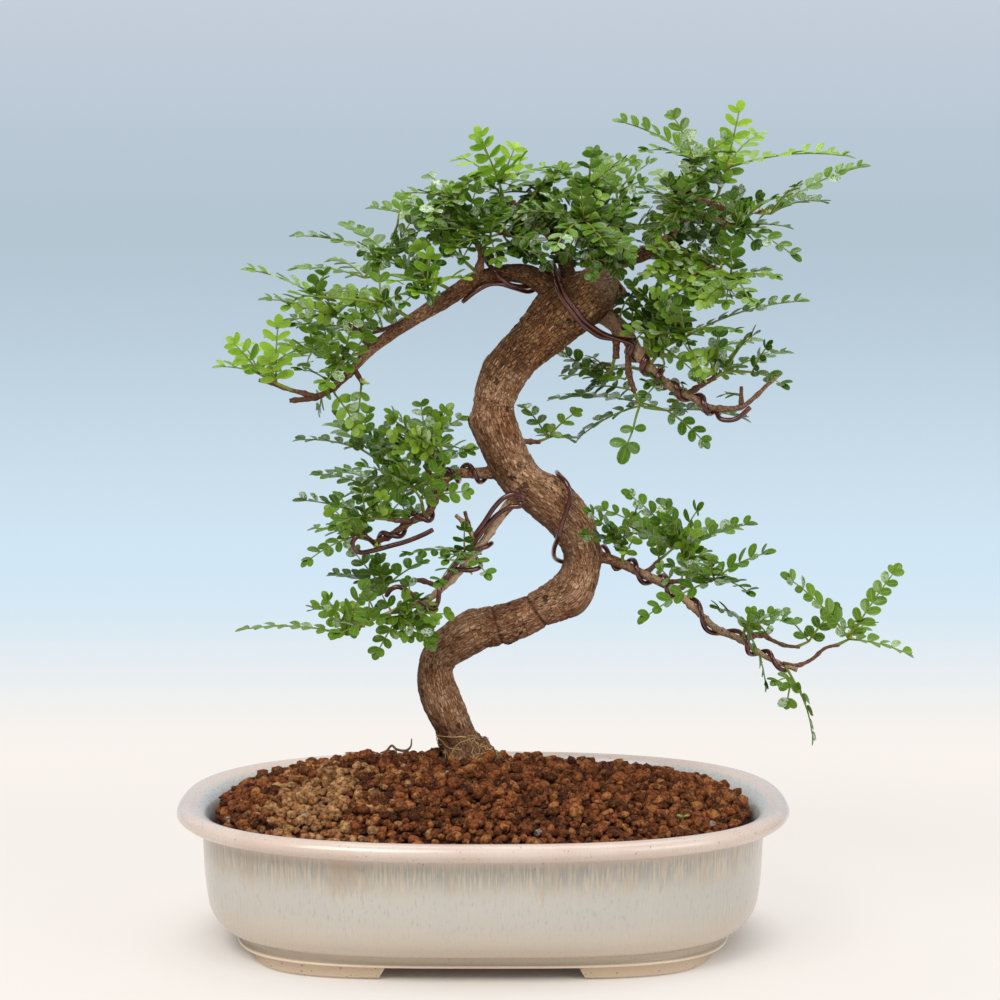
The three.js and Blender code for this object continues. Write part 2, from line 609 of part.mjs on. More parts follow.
const WIRE_ROUTES = {
  wire_crown: {
    points: [
      ...coil('upper_left', 0.38, 0.2, 1.5, 0.1),
      ...route([24, 369, -10], [33, 365, -17], [40, 355, -18.5], [48, 342, -18]),
      ...route([56, 333, -14], [66, 327, -9]),
      ...coil('mid_right', 0.14, 0.62, 4.5, 0.72),
      ...route([129, 283.5, -22], [137, 283.5, -24], [145, 290, -26]),
    ],
    steps: 52,
  },
  wire_mid_left: {
    points: [
      ...route([-26, 223, -20], [-40, 219, -23], [-52, 213, -25], [-62, 210, -24]),
      ...coil('mid_left', 0.97, 0.2, 5.25, 0.1),
    ],
    steps: 40,
  },
  wire_low_left: {
    points: [
      ...coil('low_left', 0.2, 0.72, 4, 0.55),
      ...route([-38, 187, -29], [-46, 192, -30], [-55, 187, -31]),
    ],
    steps: 30,
  },
  wire_low_left_second: {
    points: coil('low_left', 0.21, 0.6, 3, 0.9),
    steps: 19,
  },
  wire_low_right: {
    points: [
      ...route([49, 251, 4], [49.5, 246, -7], [47, 238, -12], [45, 228, -12.5]),
      ...route([41, 219, -10], [38.6, 212, -2]),
      ...route([40, 206, 10], [49, 204, 19.5], [60, 208, 20], [70, 212, 11]),
      ...coil('low_right', 0.2, 0.97, 6, 0.05),
    ],
    steps: 56,
  },
};

function makeWire({ points, steps }, grow) {
  const section = new THREE.Shape();
  const radius = WIRE_RADIUS + swell(grow, WIRE_SIDES);
  for (let k = 0; k < WIRE_SIDES; k += 1) {
    const turn = (2 * Math.PI * k) / WIRE_SIDES;
    const corner = [radius * Math.cos(turn), radius * Math.sin(turn)];
    if (k === 0) section.moveTo(...corner);
    else section.lineTo(...corner);
  }
  section.closePath();
  const extrudePath = new THREE.CatmullRomCurve3(lengthened(points, grow), false, 'centripetal');
  return fromGeometry(new THREE.ExtrudeGeometry(section, { steps, extrudePath, bevelEnabled: false }));
}

// Leaf: leaflet pairs and an end leaflet, cut to the rib in one thin arched blade.
function leafFrame(base, tip, face) {
  const along = tip.clone().sub(base);
  const length = along.length();
  along.normalize();
  const lean = THREE.MathUtils.degToRad(face);
  const normal = new THREE.Vector3(0, -Math.sin(lean), Math.cos(lean));
  normal.addScaledVector(along, -normal.dot(along)).normalize();
  const across = normal.clone().cross(along);
  const arch = 0.07 * length;
  return {
    length,
    at(s, w, lift) {
      const rise = arch * 4 * (s / length) * (1 - s / length);
      const droop = LEAF_DROOP * Math.abs(w / LEAFLET_LENGTH);
      return base.clone().addScaledVector(along, s).addScaledVector(across, w)
        .addScaledVector(normal, rise - droop + lift);
    },
  };
}

function blade(frame, outline, triangles, thick) {
  const points = [
    ...outline.map(([s, w]) => frame.at(s, w, thick / 2)),
    ...outline.map(([s, w]) => frame.at(s, w, -thick / 2)),
  ];
  const count = outline.length;
  const faces = triangles.flatMap(([a, b, c]) => [a, b, c, count + a, count + c, count + b]);
  for (let i = 0; i < count; i += 1) {
    const next = (i + 1) % count;
    faces.push(i, count + i, next, next, count + i, count + next);
  }
  return solid(points, faces);
}

function leafOutline(length) {
  const endLeaflet = Math.min(LEAFLET_LENGTH, 0.3 * length);
  const pairs = THREE.MathUtils.clamp(Math.round((length - endLeaflet - 5) / PAIR_SPACING), 2, 3);
  const stalk = Math.max(3, 0.1 * length);
  const gap = (length - endLeaflet - stalk) / pairs;
  const reach = (pair) => LEAFLET_LENGTH * (0.86 + 0.14 * Math.sin((Math.PI * (pair + 1)) / (pairs + 1)));
  const half = [[0, RIB_HALF]];
  for (let pair = 0; pair < pairs; pair += 1) {
    const s = stalk + pair * gap;
    half.push([s, RIB_HALF], [s + LEAFLET_SWEEP * gap, reach(pair)]);
  }
  const end = stalk + pairs * gap;
  half.push([end, RIB_HALF], [end + 0.5 * endLeaflet, 0.34 * LEAFLET_LENGTH]);
  return { half, tip: [length, 0], pairs };
}

function makeLeaf(base, tip, face) {
  const frame = leafFrame(base, tip, face);
  const { half, tip: point, pairs } = leafOutline(frame.length);
  const outline = [...half.map(([s, w]) => [s, -w]), point, ...half.slice().reverse()];
  const mirror = (i) => outline.length - 1 - i;
  const triangles = [];
  const quad = (a, b, c, d) => triangles.push([a, b, c], [a, c, d]);
  quad(0, 1, mirror(1), mirror(0));
  for (let pair = 0; pair < pairs; pair += 1) {
    const notch = 1 + 2 * pair;
    quad(notch, notch + 2, mirror(notch + 2), mirror(notch));
    triangles.push([notch, notch + 1, notch + 2], [mirror(notch + 2), mirror(notch + 1), mirror(notch)]);
  }
  const last = 1 + 2 * pairs;
  quad(last, last + 1, mirror(last + 1), mirror(last));
  triangles.push([last + 1, last + 2, mirror(last + 1)]);
  return blade(frame, outline, triangles, LEAF_THICK);
}

// The plain strip that a leaf needs free of its neighbours.
function leafRoom(base, tip, face) {
  const frame = leafFrame(base, tip, face);
  const half = LEAFLET_LENGTH + 0.5;
  const stations = [0.3, 0.55, 0.8, 1].map((share) => share * frame.length);
  const outline = [...stations.map((s) => [s, -half]), ...stations.slice().reverse().map((s) => [s, half])];
  const triangles = [0, 1, 2].flatMap((i) => [[i, i + 1, 6 - i], [i, 6 - i, 7 - i]]);
  return blade(frame, outline, triangles, LEAF_THICK + 1);
}

function makeStem(stem) {
  const points = stem.map((row) => seen(...row));
  const last = points.at(-1);
  const onward = last.clone().sub(points.at(-2)).setLength(STEM_RADIUS);
  points.push(last.clone().add(onward));
  return tube(points, points.map(() => STEM_RADIUS), STEM_SIDES);
}

const meets = (a, b) => a.intersect(b).volume() > 1e-6;

// Every leaf keeps its drawn tip unless it would cross another shoot or the wood: then the tip
// swings nearer or further by steps, along the line of sight, until the leaf is clear.
function placeLeaf([row, x, z, depth, face], stem, obstacles) {
  const base = seen(...stem[row]);
  for (const turn of TURNS_TRIED) {
    const tip = seen(x, z, depth + turn);
    const room = leafRoom(base, tip, face);
    if (!obstacles.some((body) => meets(room, body))) return { leaf: makeLeaf(base, tip, face), room };
  }
  return null;
}

function makeShoots(woodRoom, wireRooms) {
  const names = Object.keys(SHOOTS);
  const stems = Object.fromEntries(names.map((name) => [name, makeStem(SHOOTS[name].stem)]));
  const finished = {};
  for (const name of names) {
    const { stem, leaves } = SHOOTS[name];
    const others = names.filter((other) => other !== name).map((other) => finished[other] ?? stems[other]);
    const obstacles = [woodRoom, ...wireRooms, ...others];
    const placed = [];
    for (const row of leaves) {
      const found = placeLeaf(row, stem, obstacles);
      if (found) {
        placed.push(found.leaf);
        obstacles.push(found.room);
      }
    }
    const whole = join([stems[name], ...placed]);
    finished[name] = largest([woodRoom, ...wireRooms].reduce((body, room) => body.subtract(room), whole));
  }
  return finished;
}

// The dry curled twig that lies on the soil, left of the trunk.
function makeDryTwig() {
  const rows = [[-58, 99.7, -2], [-52, 102.6, -3], [-46, 100.9, -6], [-41, 103.1, -5], [-40.5, 108, -4]];
  return tube(route(...rows), [0.9, 1, 1.1, 0.9, 0.6], 4);
}

// Assembly.
const tree = new THREE.Group();
tree.position.set(POT_X, 0, 0);

function part(name, body, look) {
  const mesh = new THREE.Mesh(toGeometry(body), new THREE.MeshStandardMaterial(look));
  mesh.name = name;
  tree.add(mesh);
}

const wires = Object.entries(WIRE_ROUTES).map(([name, run]) => [name, makeWire(run, 0)]);
const wireRooms = Object.values(WIRE_ROUTES).map((run) => makeWire(run, CLEARANCE));
const woodRoom = makeWood(CLEARANCE);
const wood = largest(wireRooms.reduce((body, room) => body.subtract(room), makeWood(0)));
const dryTwig = makeDryTwig();

part('pot', makePot(), GLAZE);
part('drain_screen_left', makeScreen(-DRAIN_X), MESH);
part('drain_screen_right', makeScreen(DRAIN_X), MESH);
part('soil', largest(makeSoil().subtract(woodRoom)), EARTH);
part('wood', wood, BARK);
wires.forEach(([name, body]) => part(name, body, WIRE));
part('dry_twig', dryTwig, DRY_WOOD);
Object.entries(makeShoots(woodRoom, wireRooms)).forEach(([name, body]) => {
  part(`shoot_${name}`, body, SHOOTS[name].young ? YOUNG_LEAF : LEAF);
});

export default tree;
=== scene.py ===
# %% [markdown]
# A Japanese pepper tree, trained as a bonsai, in an oval glazed pot.
#
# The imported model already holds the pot, the soil, the wood, the training wire and the leafy
# shoots at their real sizes. Here each of them gets its true skin: glaze that ran in the kiln,
# a pot full of clay granules, bark with pores and cracks, round wire, and leaves made of
# separate leaflets. Nothing is moved: every piece is made where the model has it.

# %% Load the measured model
import json
import math

import bmesh
import bpy
import numpy as np
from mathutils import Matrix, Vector, kdtree, noise

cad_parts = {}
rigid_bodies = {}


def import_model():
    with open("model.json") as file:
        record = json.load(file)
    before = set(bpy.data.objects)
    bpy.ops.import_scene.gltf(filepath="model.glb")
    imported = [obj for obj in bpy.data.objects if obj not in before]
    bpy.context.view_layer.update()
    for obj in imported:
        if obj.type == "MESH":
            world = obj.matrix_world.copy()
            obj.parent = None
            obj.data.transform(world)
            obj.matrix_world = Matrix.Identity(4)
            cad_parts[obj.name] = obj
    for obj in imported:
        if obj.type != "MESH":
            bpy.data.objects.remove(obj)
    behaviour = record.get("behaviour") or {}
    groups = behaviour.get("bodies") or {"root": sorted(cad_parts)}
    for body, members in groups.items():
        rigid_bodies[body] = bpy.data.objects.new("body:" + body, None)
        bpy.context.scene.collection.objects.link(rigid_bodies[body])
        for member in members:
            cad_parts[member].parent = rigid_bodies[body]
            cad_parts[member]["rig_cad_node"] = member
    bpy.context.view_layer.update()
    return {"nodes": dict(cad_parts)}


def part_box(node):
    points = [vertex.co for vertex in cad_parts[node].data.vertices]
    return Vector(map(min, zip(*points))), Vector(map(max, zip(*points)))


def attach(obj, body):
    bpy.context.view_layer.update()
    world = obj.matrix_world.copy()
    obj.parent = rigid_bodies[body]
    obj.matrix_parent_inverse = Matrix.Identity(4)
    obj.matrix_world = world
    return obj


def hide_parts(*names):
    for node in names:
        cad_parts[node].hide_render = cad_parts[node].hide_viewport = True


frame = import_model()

# %% [markdown]
# A grower judges a bonsai from its front, so the tree is laid out there. A point is
# (x, z, depth) in millimetres: x and z in the upright plane through the middle of the pot, and
# depth behind that plane. A point off the plane slides along its own line of sight, so the
# front view stays the drawn one whatever the depth.

# %% The drawing and its line of sight
MM = 0.001
pot_low, pot_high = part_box("pot")
POT_X = (pot_low.x + pot_high.x) / 2
EYE = np.array([9.2, -1400.0, 325.6])


def seen(x, z, depth):
    """A drawn point in millimetres about the pot's middle: x, y towards the back, z up."""
    reach = 1 + depth / -EYE[1]
    return np.array([EYE[0] + (x - EYE[0]) * reach, depth, EYE[2] + (z - EYE[2]) * reach])


def unit(vector):
    return vector / np.linalg.norm(vector)


print(f"the pot's middle is at x = {POT_X:.4f} m")

# %% [markdown]
# Most pieces here are many small shapes in one mesh: grains, leaflets, rings of a tube. A heap
# collects their points and faces, with any value that a material reads at each point, and
# becomes one mesh at the end. That is far quicker than thousands of separate objects.

# %% A heap of points and faces
class Heap:
    """Points in millimetres, faces and per-point values, which become one mesh in metres."""

    def __init__(self, *value_names):
        self.points = []
        self.triangles = []
        self.quads = []
        self.values = {name: [] for name in value_names}
        self.count = 0

    def add(self, points, triangles=None, quads=None, **values):
        points = np.asarray(points, float).reshape(-1, 3)
        if triangles is not None:
            self.triangles.append(np.asarray(triangles, int).reshape(-1, 3) + self.count)
        if quads is not None:
            self.quads.append(np.asarray(quads, int).reshape(-1, 4) + self.count)
        for name, column in self.values.items():
            column.append(np.broadcast_to(np.asarray(values[name], float), len(points)))
        self.points.append(points)
        self.count += len(points)

    def mesh(self, name):
        points = np.concatenate(self.points) * MM + np.array([POT_X, 0, 0])
        faces = [np.concatenate(group) for group in (self.triangles, self.quads) if group]
        mesh = bpy.data.meshes.new(name)
        mesh.vertices.add(len(points))
        mesh.vertices.foreach_set("co", points.ravel())
        corners = np.concatenate([group.ravel() for group in faces])
        sizes = np.concatenate([np.full(len(group), group.shape[1]) for group in faces])
        mesh.loops.add(len(corners))
        mesh.loops.foreach_set("vertex_index", corners)
        mesh.polygons.add(len(sizes))
        mesh.polygons.foreach_set("loop_start", np.concatenate([[0], np.cumsum(sizes)[:-1]]))
        mesh.update(calc_edges=True)
        mesh.validate()
        for value_name, column in self.values.items():
            store_value(mesh, value_name, np.concatenate(column))
        mesh.shade_smooth()
        return mesh


def store_value(mesh, name, numbers):
    """Keeps one number for each point of the mesh, for a material to read by name."""
    mesh.attributes.new(name, "FLOAT", "POINT").data.foreach_set("value", np.asarray(numbers, np.float32))


def points_of(mesh):
    """The mesh's points in millimetres about the pot's middle."""
    places = np.empty(3 * len(mesh.vertices))
    mesh.vertices.foreach_get("co", places)
    return (places.reshape(-1, 3) - np.array([POT_X, 0, 0])) / MM


def normals_of(mesh):
    directions = np.empty(3 * len(mesh.vertices))
    mesh.vertex_normals.foreach_get("vector", directions)
    return directions.reshape(-1, 3)


def put(name, data):
    """Makes an object of a mesh, a light or a camera and puts it in the scene."""
    made = bpy.data.objects.new(name, data)
    bpy.context.scene.collection.objects.link(made)
    return made


def piece(name, mesh, material, nodes=()):
    """Puts a mesh in the scene as one piece of the tree, in the place of the model's nodes."""
    made = put(name, mesh)
    made.data.materials.clear()
    made.data.materials.append(material)
    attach(made, "root")
    if nodes:
        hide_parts(*nodes)
    triangles = sum(len(face.vertices) - 2 for face in mesh.polygons)
    print(f"{name}: {triangles} triangles")


# %% [markdown]
# Branches, wires, stems and leaf ribs are all round bars along a curve. The curve is a smooth
# line through drawn points, and the bar's rings are carried along it without twisting, so that
# no facet spirals round a straight twig.

# %% Smooth lines and round bars
FIRST_SIDE = (0.13, 0.95, 0.29)


def smooth_at(rows, places):
    """A smooth line through the rows, read at fractional row numbers."""
    rows = np.asarray(rows, float)
    steps = np.linalg.norm(np.diff(rows[:, :3], axis=0), axis=1)
    knots = np.concatenate([[0], np.cumsum(np.sqrt(steps))])
    slopes = np.gradient(rows, knots, axis=0)
    places = np.asarray(places, float)
    row = np.clip(places.astype(int), 0, len(rows) - 2)
    t = (places - row)[:, None]
    span = (knots[row + 1] - knots[row])[:, None]
    start = (2 * t**3 - 3 * t**2 + 1) * rows[row] + (t**3 - 2 * t**2 + t) * span * slopes[row]
    end = (3 * t**2 - 2 * t**3) * rows[row + 1] + (t**3 - t**2) * span * slopes[row + 1]
    return start + end


def smooth_line(rows, count):
    """count points along the smooth line, at even steps of its length."""
    rows = np.asarray(rows, float)
    dense = smooth_at(rows, np.linspace(0, len(rows) - 1, 12 * len(rows)))
    lengths = np.linalg.norm(np.diff(dense[:, :3], axis=0), axis=1)
    run = np.concatenate([[0], np.cumsum(lengths)])
    wanted = np.linspace(0, run[-1], count)
    return np.column_stack([np.interp(wanted, run, column) for column in dense.T])


def drawn(rows):
    """Drawn rows of (x, z, depth, ...) as points in space, with any further columns kept."""
    return np.array([[*seen(*row[:3]), *row[3:]] for row in rows])


def carried_frames(line):
    """Two directions square to the line at each of its points, without twist."""
    tangents = np.gradient(line, axis=0)
    tangents /= np.linalg.norm(tangents, axis=1)[:, None]
    side = np.array(FIRST_SIDE)
    sides = []
    for tangent in tangents:
        side = unit(side - tangent * side.dot(tangent))
        sides.append(side)
    sides = np.array(sides)
    return sides, np.cross(tangents, sides)


def full_turn(steps):
    """Angles at even steps round a circle."""
    return 2 * math.pi * np.arange(steps) / steps


def ring_faces(rings, sides):
    """Quads between rings of equal point counts."""
    ring, side = np.meshgrid(np.arange(rings - 1), np.arange(sides), indexing="ij")
    a = ring * sides + side
    b = ring * sides + (side + 1) % sides
    return np.stack([a, b, b + sides, a + sides], axis=-1).reshape(-1, 4)


def closed_rings(rings):
    """Points, triangles and quads of a skin over rings, closed at both ends."""
    rings = np.asarray(rings, float)
    count, sides = rings.shape[:2]
    points = np.concatenate([rings.reshape(-1, 3), [rings[0].mean(axis=0), rings[-1].mean(axis=0)]])
    first = np.arange(sides)
    second = (first + 1) % sides
    last = (count - 1) * sides
    start_fan = np.stack([np.full(sides, count * sides), second, first], axis=-1)
    end_fan = np.stack([np.full(sides, count * sides + 1), last + first, last + second], axis=-1)
    return points, np.concatenate([start_fan, end_fan]), ring_faces(count, sides)


def bar(line, radii, sides):
    """A round bar along a line, closed at both ends."""
    sides_way, up_way = carried_frames(line)
    turns = full_turn(sides)
    ring = np.cos(turns)[None, :, None] * sides_way[:, None, :]
    ring = ring + np.sin(turns)[None, :, None] * up_way[:, None, :]
    rings = line[:, None, :] + np.asarray(radii, float)[:, None, None] * ring
    return closed_rings(rings)


print("a smooth line from (0,0) to (2,0) passes", smooth_line([[0, 0, 0], [1, 1, 0], [2, 0, 0]], 3)[1])

# %% [markdown]
# A finish is wired from shader nodes, and typing each node out by hand buries the idea. These
# few words keep a recipe readable: each adds one node to the tree and gives back its output.
# Outputs can be added and multiplied like numbers, so a recipe reads like a sum.

# %% Words for wiring a finish
class Output:
    """The output of a node in a tree. Outputs add, subtract, multiply and divide like numbers."""

    def __init__(self, tree, socket):
        self.tree = tree
        self.socket = socket

    def __add__(self, other):
        return calculate("ADD", self, other)

    def __radd__(self, other):
        return calculate("ADD", other, self)

    def __sub__(self, other):
        return calculate("SUBTRACT", self, other)

    def __rsub__(self, other):
        return calculate("SUBTRACT", other, self)

    def __mul__(self, other):
        return calculate("MULTIPLY", self, other)

    def __truediv__(self, other):
        return calculate("DIVIDE", self, other)


def connect(socket, value):
    """Plugs an output into a socket, or sets the socket's own value."""
    if isinstance(value, Output):
        value.tree.links.new(value.socket, socket)
    else:
        socket.default_value = value


def add_node(tree, kind, inputs, output=0, **settings):
    made = tree.nodes.new("ShaderNode" + kind)
    for name, value in settings.items():
        setattr(made, name, value)
    for name, value in inputs.items():
        connect(made.inputs[name], value)
    return Output(tree, made.outputs[output])


def calculate(operation, first, second=0.5, clamp=False):
    tree = first.tree if isinstance(first, Output) else second.tree
    return add_node(tree, "Math", {0: first, 1: second}, operation=operation, use_clamp=clamp)


def larger(first, second):
    return calculate("MAXIMUM", first, second)


def rise(value, low, high):
    """0 below low, 1 above high, and a soft step between them; low above high turns it round."""
    turned = low > high
    inputs = {"Value": value, "From Min": min(low, high), "From Max": max(low, high)}
    inputs["To Min"], inputs["To Max"] = (1.0, 0.0) if turned else (0.0, 1.0)
    return add_node(value.tree, "MapRange", inputs, interpolation_type="SMOOTHSTEP")


def blend(share, under, over, how="MIX"):
    made = share.tree.nodes.new("ShaderNodeMix")
    made.data_type = "RGBA"
    made.blend_type = how
    connect(made.inputs[0], share)
    connect(made.inputs[6], under)
    connect(made.inputs[7], over)
    return Output(share.tree, made.outputs[2])


def stored(tree, name):
    """The value kept at each point under this name."""
    return add_node(tree, "Attribute", {}, output="Fac", attribute_name=name)


def cloud(place, scale, detail=2.0, roughness=0.5):
    inputs = {"Vector": place, "Scale": scale, "Detail": detail, "Roughness": roughness}
    return add_node(place.tree, "TexNoise", inputs)


def stretched(place, x, y, z):
    """The place with each direction squeezed by its own factor."""
    return add_node(place.tree, "VectorMath", {0: place, 1: (x, y, z)}, operation="MULTIPLY")


def own_place(tree):
    return add_node(tree, "TexCoord", {}, output="Object")


def height_of(tree):
    return add_node(tree, "SeparateXYZ", {0: own_place(tree)}, output=2)


def use_group(group, output, **inputs):
    tree = inputs["Place"].tree
    made = tree.nodes.new("ShaderNodeGroup")
    made.node_tree = group
    for name, value in inputs.items():
        connect(made.inputs[name], value)
    return Output(tree, made.outputs[output])


def relief(height, depth_mm, under=None):
    """A bump whose height from 0 to 1 stands for a depth in millimetres."""
    inputs = {"Height": height, "Distance": depth_mm * MM, "Strength": 1.0}
    if under is not None:
        inputs["Normal"] = under
    return add_node(height.tree, "Bump", inputs)


def srgb(red, green, blue):
    """A colour as a paint chart gives it, in 0 to 255, as the linear light that shaders use."""
    steps = [value / 255 for value in (red, green, blue)]
    return tuple(s / 12.92 if s <= 0.04045 else ((s + 0.055) / 1.055) ** 2.4 for s in steps) + (1.0,)


def new_finish(name):
    """A material with its Principled shader, ready for colour, roughness and normal."""
    material = bpy.data.materials.new(name)
    material.use_nodes = True
    return material, material.node_tree, material.node_tree.nodes["Principled BSDF"]


def set_shader(shader, **values):
    for name, value in values.items():
        connect(shader.inputs[name.replace("_", " ")], value)


# %% [markdown]
# Three effects come back in several finishes here. Iron specks dot the glaze and the bare clay,
# and the pores of bark are the same thing drawn longer. Mottling, a slow change from patch to
# patch, is in everything that grew, was fired or was dug up. Crust is the fine broken grain of
# clay and bark. Each is built once as a node group and placed with its own values.

# %% Specks, mottling and crust as node groups
def start_group(name, *inputs, outputs):
    group = bpy.data.node_groups.new(name, "ShaderNodeTree")
    group.interface.new_socket("Place", in_out="INPUT", socket_type="NodeSocketVector")
    for socket_name, value in inputs:
        made = group.interface.new_socket(socket_name, in_out="INPUT", socket_type="NodeSocketFloat")
        made.default_value = value
    for socket_name in outputs:
        group.interface.new_socket(socket_name, in_out="OUTPUT", socket_type="NodeSocketFloat")
    given = {socket.name: Output(group, socket) for socket in group.nodes.new("NodeGroupInput").outputs}
    return group, given, group.nodes.new("NodeGroupOutput").inputs


def build_specks():
    """Irregular dots: a cell pattern bent by noise, kept only in some cells."""
    group, given, out = start_group(
        "specks", ("Scale", 300.0), ("Size", 0.2), ("Share", 0.5), outputs=["Mask"])
    bend = cloud(given["Place"], given["Scale"], detail=3.0)
    shift = add_node(group, "VectorMath", {0: bend, "Scale": 0.0012}, operation="SCALE")
    place = add_node(group, "VectorMath", {0: given["Place"], 1: shift}, operation="ADD")
    cells = group.nodes.new("ShaderNodeTexVoronoi")
    connect(cells.inputs["Vector"], place)
    connect(cells.inputs["Scale"], given["Scale"])
    distance, colour = (Output(group, cells.outputs[name]) for name in ("Distance", "Color"))
    cell_draw = add_node(group, "SeparateColor", {0: colour})
    reach = given["Size"] * (cell_draw + 0.4)
    near = reach - distance
    soft = calculate("MULTIPLY", near, 14.0, clamp=True)
    second_draw = add_node(group, "SeparateColor", {0: colour}, output=1)
    kept = calculate("LESS_THAN", second_draw, given["Share"])
    connect(out["Mask"], soft * kept)
    return group


def build_mottling():
    """A slow change with a finer one inside it, spread over 0 to 1."""
    group, given, out = start_group("mottling", ("Scale", 40.0), ("Contrast", 1.0), outputs=["Tone"])
    broad = cloud(given["Place"], given["Scale"], detail=5.0, roughness=0.6)
    centred = (broad - 0.5) * given["Contrast"]
    connect(out["Tone"], calculate("ADD", centred, 0.5, clamp=True))
    return group


def build_crust():
    """Broken grain: ridges between cells, roughened by fine noise."""
    group, given, out = start_group("crust", ("Scale", 400.0), ("Cracks", 0.5), outputs=["Height"])
    fine = cloud(given["Place"], given["Scale"] * 1.7, 4.0, 0.65)
    edges = add_node(
        group, "TexVoronoi", {"Vector": given["Place"], "Scale": given["Scale"]},
        feature="DISTANCE_TO_EDGE")
    ridge = calculate("MULTIPLY", edges, 3.0, clamp=True)
    flat = 1.0 - given["Cracks"]
    plates = ridge * given["Cracks"] + flat
    connect(out["Height"], fine * plates)
    return group


specks = build_specks()
mottling = build_mottling()
crust = build_crust()


def mottled(place, scale, contrast):
    return use_group(mottling, "Tone", Place=place, Scale=scale, Contrast=contrast)


def grit_of(place, scale, cracks):
    return use_group(crust, "Height", Place=place, Scale=scale, Cracks=cracks)


def dotted(place, scale, size, share):
    return use_group(specks, "Mask", Place=place, Scale=scale, Size=size, Share=share)


def plain_finish(name, scale, contrast, dark, light, rough, rough_change, grain, depth, own_tone=False):
    """Two mottled colours over a fine grain; own_tone mixes in the tone kept on each shape."""
    material, tree, shader = new_finish(name)
    place = own_place(tree)
    tone = mottled(place, scale, contrast)
    share = (tone + stored(tree, "tone")) * 0.5 if own_tone else tone
    colour = blend(share, srgb(*dark), srgb(*light))
    roughness = rough + tone * rough_change
    bump = relief(cloud(place, *grain), depth)
    set_shader(shader, Base_Color=colour, Roughness=roughness, Normal=bump)
    return material


print("shared effects:", ", ".join(group.name for group in (specks, mottling, crust)))

# %% [markdown]
# The pot is one piece of stoneware: an oval with straight sides that is softer than a rectangle
# and fuller than an ellipse, a rolled lip, and a foot rim cut away in the middle of each side so
# that water can run out below. It could be a box with rounded corners, but the potter's oval has
# no flat and no corner. A superellipse draws it in one formula, and one cross-section is
# repeated round it with a soft radius at every turn of the profile. Towards the foot the oval
# grows squarer, so every row of the profile carries the power of its own oval.

# %% The pot's cross-section, softened
OVAL_POWER = 2.5
POT_PROFILE = [
    (131, 99, 6.0, 3.5), (133, 101, 6.3, 3.5), (133, 101, 7.4, 3.5), (131.2, 99.6, 8.2, 3.4),
    (134.5, 102.6, 12, 3.1), (141.5, 107.5, 13.6, 2.9), (149, 113.2, 20, 2.65), (151.8, 116.8, 36, 2.5),
    (153, 118.8, 66.2, 2.5), (162, 127, 66.9, 2.5), (168, 131.8, 72, 2.5), (162.5, 126.6, 77.6, 2.5),
    (152, 117.2, 73.5, 2.5), (146.5, 112, 64, 2.5), (144.5, 110, 34, 2.5), (136, 102, 16.5, 2.6),
    (126, 92, 13, 2.7),
]
CORNER_SOFTNESS = [2.0, 0.5, 0.5, 1.2, 1.6, 2.4, 6, 9, 1.4, 3.2, 4.4, 4.2, 4.0, 9, 12, 7, 6]
CORNER_STEPS = 6
POT_SIDES = 192
UNDERSIDE = 6.0


def soften(profile, softness):
    """Replaces each corner of a profile by a short curve that starts and ends on its sides."""
    rows = [np.array(row, float) for row in profile]
    smooth = [rows[0]]
    for before, corner, after, reach in zip(rows, rows[1:], rows[2:], softness[1:]):
        back, on = before - corner, after - corner
        start = corner + back * min(0.48, reach / np.linalg.norm(back[[0, 2]]))
        end = corner + on * min(0.48, reach / np.linalg.norm(on[[0, 2]]))
        for t in np.linspace(0, 1, CORNER_STEPS):
            smooth.append((1 - t)**2 * start + 2 * t * (1 - t) * corner + t**2 * end)
    smooth.append(rows[-1])
    return np.array(smooth)


def oval_ring(half_length, half_depth, height, power=OVAL_POWER, sides=POT_SIDES):
    turns = full_turn(sides)
    bulge = lambda v: np.sign(v) * np.abs(v)**(2 / power)
    x = half_length * bulge(np.cos(turns))
    y = half_depth * bulge(np.sin(turns))
    return np.column_stack([x, y, np.full(sides, float(height))])


def solid_of(points, triangles, quads, name):
    heap = Heap()
    heap.add(points, triangles=triangles, quads=quads)
    return put(name, heap.mesh(name))


pot_profile = soften(POT_PROFILE, CORNER_SOFTNESS)
bowl = solid_of(*closed_rings([oval_ring(*row) for row in pot_profile]), "pot")
print("the cross-section has", len(pot_profile), "points")

# %% [markdown]
# The feet are what is left of a ring of clay after two bars are cut through it, so they are made
# that way too, with booleans. A narrow bevel then softens every cut edge, as a wet sponge does.

# %% The feet and the drain holes
FOOT_RINGS = [(122.0, 97.4, 0.0, 4.4), (123.2, 98.4, 0.8, 4.4), (126.0, 99.6, 7.2, 4.0)]
FOOT_GAP_FRONT = 50.0
FOOT_GAP_END = 38.0
FOOT_SLANT = 4.0
DRAIN_X = 70.0
DRAIN_RADIUS = 10.0
DRAIN_SIDES = 48
DRAIN_REACH = (-4.0, 30.0)
EDGE_WIDTH = 0.8


def carve(target, tool, operation):
    """Joins or cuts one solid with another and keeps the result as the target's mesh."""
    cut = target.modifiers.new("cut", "BOOLEAN")
    cut.object = tool
    cut.operation = operation
    cut.solver = "EXACT"
    keep_modifiers(target)
    bpy.data.objects.remove(tool)


def keep_modifiers(target):
    """Makes the look that the modifiers give into the object's own mesh."""
    bpy.context.view_layer.update()
    shaped = target.evaluated_get(bpy.context.evaluated_depsgraph_get())
    mesh = bpy.data.meshes.new_from_object(shaped)
    target.modifiers.clear()
    target.data = mesh


